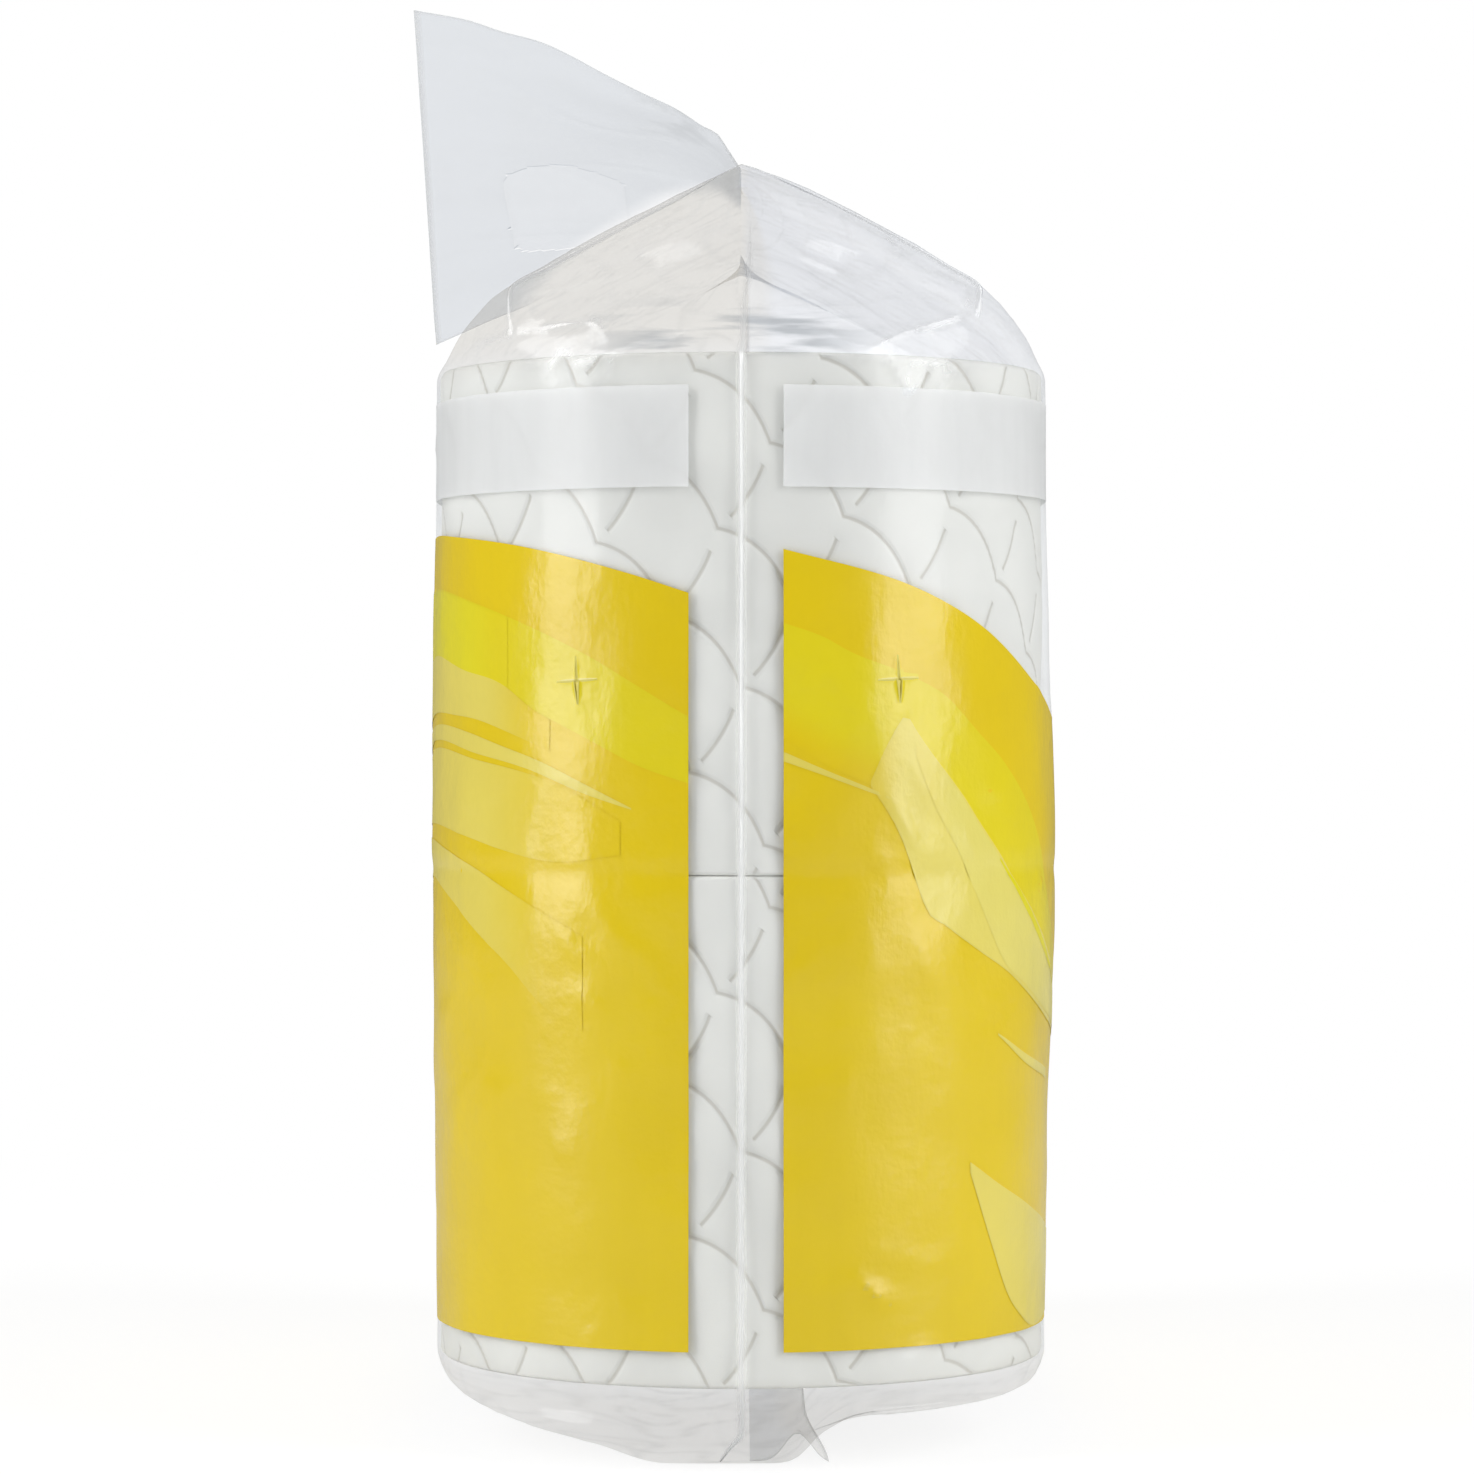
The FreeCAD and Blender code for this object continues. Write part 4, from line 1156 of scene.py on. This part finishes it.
class ROLLPACK_OT_print(Operator):
    """Make the printed fields of ink on the film, and the vent cuts in them."""
    bl_idname = "roll_pack.make_print"
    bl_label = "Printed Fields"

    def execute(self, context):
        sizes, colours = context.scene.roll_pack_sizes, context.scene.roll_pack_colours
        step, seed = mm(sizes.mesh_step), sizes.seed
        gold = ink_finish("gold_ink", colours.gold, colours.gold)
        lime = ink_finish("lime_ink", colours.lime, colours.gold)
        pale = ink_finish("pale_ink", colours.pale, colours.gold)
        for name, fields, finish, slot, node in (
                ("gold_field", GOLD_FIELDS, gold, "gold_ink", "gold_print"),
                ("lime_ribbons", LIME_FIELDS, lime, "lime_ink", "lime_print"),
                ("pale_ribbons", PALE_FIELDS, pale, "pale_ink", "pale_print"),
                ("white_band", BAND_FIELDS, white_ink_finish(colours), "white_ink", "white_print")):
            make_piece(name, both_faces(fields, step, seed), [finish], slot, (node,))
        vents = []
        for turned in (0, HALF_ROUND):
            for across, up, lime_top in VENTS:
                vents += vent_patches(across - math.copysign(turned, across), up, lime_top, seed)
        # The pale ink on the vents is the painted highlight along the lips' edges.
        make_piece("vent_petals", vents, [lime, pale], "lime_ink")
        return {"FINISHED"}


# Lamps beside the pack, as name, angle from the camera's side and width, and what both share. The stage's
# lengths are in metres, and its lamps look at AIM_HEIGHT in the pack.
SIDE_LAMPS = (("left_lamp", -66.0, 0.74), ("right_lamp", 64.0, 0.92))
SIDE_DISTANCE, SIDE_HEIGHT, SIDE_TALL = 1.7, 0.98, 2.1
FRONT_LAMP = {"angle": 6.0, "distance": 2.6, "height": 1.7, "size": (2.0, 1.2)}
AIM_HEIGHT = 0.13
CAMERA_X = -0.0008
SENSOR_WIDTH = 36.0


class ROLLPACK_OT_stage(Operator):
    """Make the floor, the light from all round, the lamps and the camera."""
    bl_idname = "roll_pack.make_stage"
    bl_label = "Stage"

    def execute(self, context):
        values = context.scene.roll_pack_stage
        floor_piece()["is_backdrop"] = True
        make_world(context.scene, values.fill)
        for name, angle, width in SIDE_LAMPS:
            area_lamp(name, angle, SIDE_DISTANCE, SIDE_HEIGHT, (width, SIDE_TALL), values.side_power)
        area_lamp("front_lamp", power=values.front_power, **FRONT_LAMP)
        lens = bpy.data.cameras.new("camera")
        lens.lens, lens.sensor_width = values.lens, SENSOR_WIDTH
        camera = add_object("camera", lens)
        camera.location = (CAMERA_X, -values.camera_distance, values.camera_height)
        camera.rotation_euler = (math.pi / 2, 0, 0)
        context.scene.camera = camera
        context.scene.view_settings.view_transform = "Standard"
        return {"FINISHED"}


def to_camera(finish):
    """1 for rays from the camera, which show the stage itself, and 0 for those that carry its light."""
    return finish.add("ShaderNodeLightPath", output="Is Camera Ray")


def floor_piece():
    """A wide pale disc: rings of points round the middle, closed by its own centre."""
    radius = np.concatenate([[0.0], np.geomspace(60, 9000, 22)])[:, None]
    turn = line(-math.pi, math.pi, 0.09)[None, :]
    points = spread(-radius * np.sin(turn), radius * np.cos(turn), -0.05) * MM
    mesh = bpy.data.meshes.new("floor")
    mesh.from_pydata(points.reshape(-1, 3).tolist(), [], grid_faces(*points.shape[:2]).tolist())
    weld(mesh)
    finish = Finish("floor_card")
    point = finish.object_point()
    shade = finish.blend(finish.noise(point, 300, 4) * 0.1, linear(238, 239, 241), linear(228, 229, 231))
    card = finish.principled(Base_Color=shade, Roughness=0.9, Specular_IOR_Level=0.1)
    shaded = finish.add("ShaderNodeBsdfDiffuse", inputs={"Color": (0.24, 0.24, 0.24, 1)})
    glow, white = (finish.add("ShaderNodeEmission", inputs={"Color": (1, 1, 1, 1), "Strength": strength})
                   for strength in (0.85, 1.0))
    far = finish.add("ShaderNodeVectorMath", {"operation": "LENGTH"}, (point,), output=1)
    shown = finish.mix(far.ease(0.22, 0.6), finish.add("ShaderNodeAddShader", inputs=(shaded, glow)), white)
    mesh.materials.append(finish.surface(finish.mix(to_camera(finish), card, shown)))
    return add_object("floor", mesh)


def make_world(scene, fill):
    """White where the camera sees it, and an even, weaker light on the object."""
    scene.world = bpy.data.worlds.new("studio")
    studio = Finish(owner=scene.world)
    light, white = (studio.add("ShaderNodeBackground", inputs={"Color": tint, "Strength": strength})
                    for tint, strength in (((0.97, 0.985, 1.0, 1.0), fill), ((1, 1, 1, 1), 1.0)))
    studio.surface(studio.mix(to_camera(studio), light, white), "ShaderNodeOutputWorld")


def area_lamp(name, angle, distance, height, size, power):
    """A soft lamp at an angle from the camera's side of the pack, turned towards the pack."""
    data = bpy.data.lights.new(name, "AREA")
    data.shape, (data.size, data.size_y), data.energy = "RECTANGLE", size, power
    lamp = add_object(name, data)
    turn = math.radians(angle)
    lamp.location = (distance * math.sin(turn), -distance * math.cos(turn), height)
    pitch = math.atan2(height - AIM_HEIGHT, distance)
    lamp.rotation_euler = (math.pi / 2 - pitch, 0, turn)


class ROLLPACK_PT_panel(Panel):
    """Sizes, colours and the steps that make the pack."""
    bl_label = "Roll Pack"
    bl_idname = "ROLLPACK_PT_panel"
    bl_space_type = "VIEW_3D"
    bl_region_type = "UI"
    bl_category = "Roll Pack"

    def draw(self, context):
        for step in STEPS:
            self.layout.operator(step.bl_idname)
        for key, group in GROUPS.items():
            for name in group.__annotations__:
                self.layout.prop(getattr(context.scene, key), name)


GROUPS = {"roll_pack_sizes": ROLLPACK_PG_sizes, "roll_pack_colours": ROLLPACK_PG_colours,
          "roll_pack_stage": ROLLPACK_PG_stage}
STEPS = (ROLLPACK_OT_paper, ROLLPACK_OT_cores, ROLLPACK_OT_film, ROLLPACK_OT_print, ROLLPACK_OT_stage)
CLASSES = (*GROUPS.values(), *STEPS, ROLLPACK_PT_panel)


def register():
    for item in CLASSES:
        bpy.utils.register_class(item)
    for key, group in GROUPS.items():
        setattr(bpy.types.Scene, key, PointerProperty(type=group))


def unregister():
    for key in GROUPS:
        delattr(bpy.types.Scene, key)
    for item in reversed(CLASSES):
        bpy.utils.unregister_class(item)


def main():
    register()
    bpy.ops.roll_pack.make_paper()
    bpy.ops.roll_pack.make_cores()
    bpy.ops.roll_pack.make_film()
    bpy.ops.roll_pack.make_print()
    bpy.ops.roll_pack.make_stage()
    boxes = {"cad": CAD_BOX, "visual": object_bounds()}
    {name: [list(corner) for corner in box] for name, box in boxes.items()}


if __name__ == "__main__":
    main()
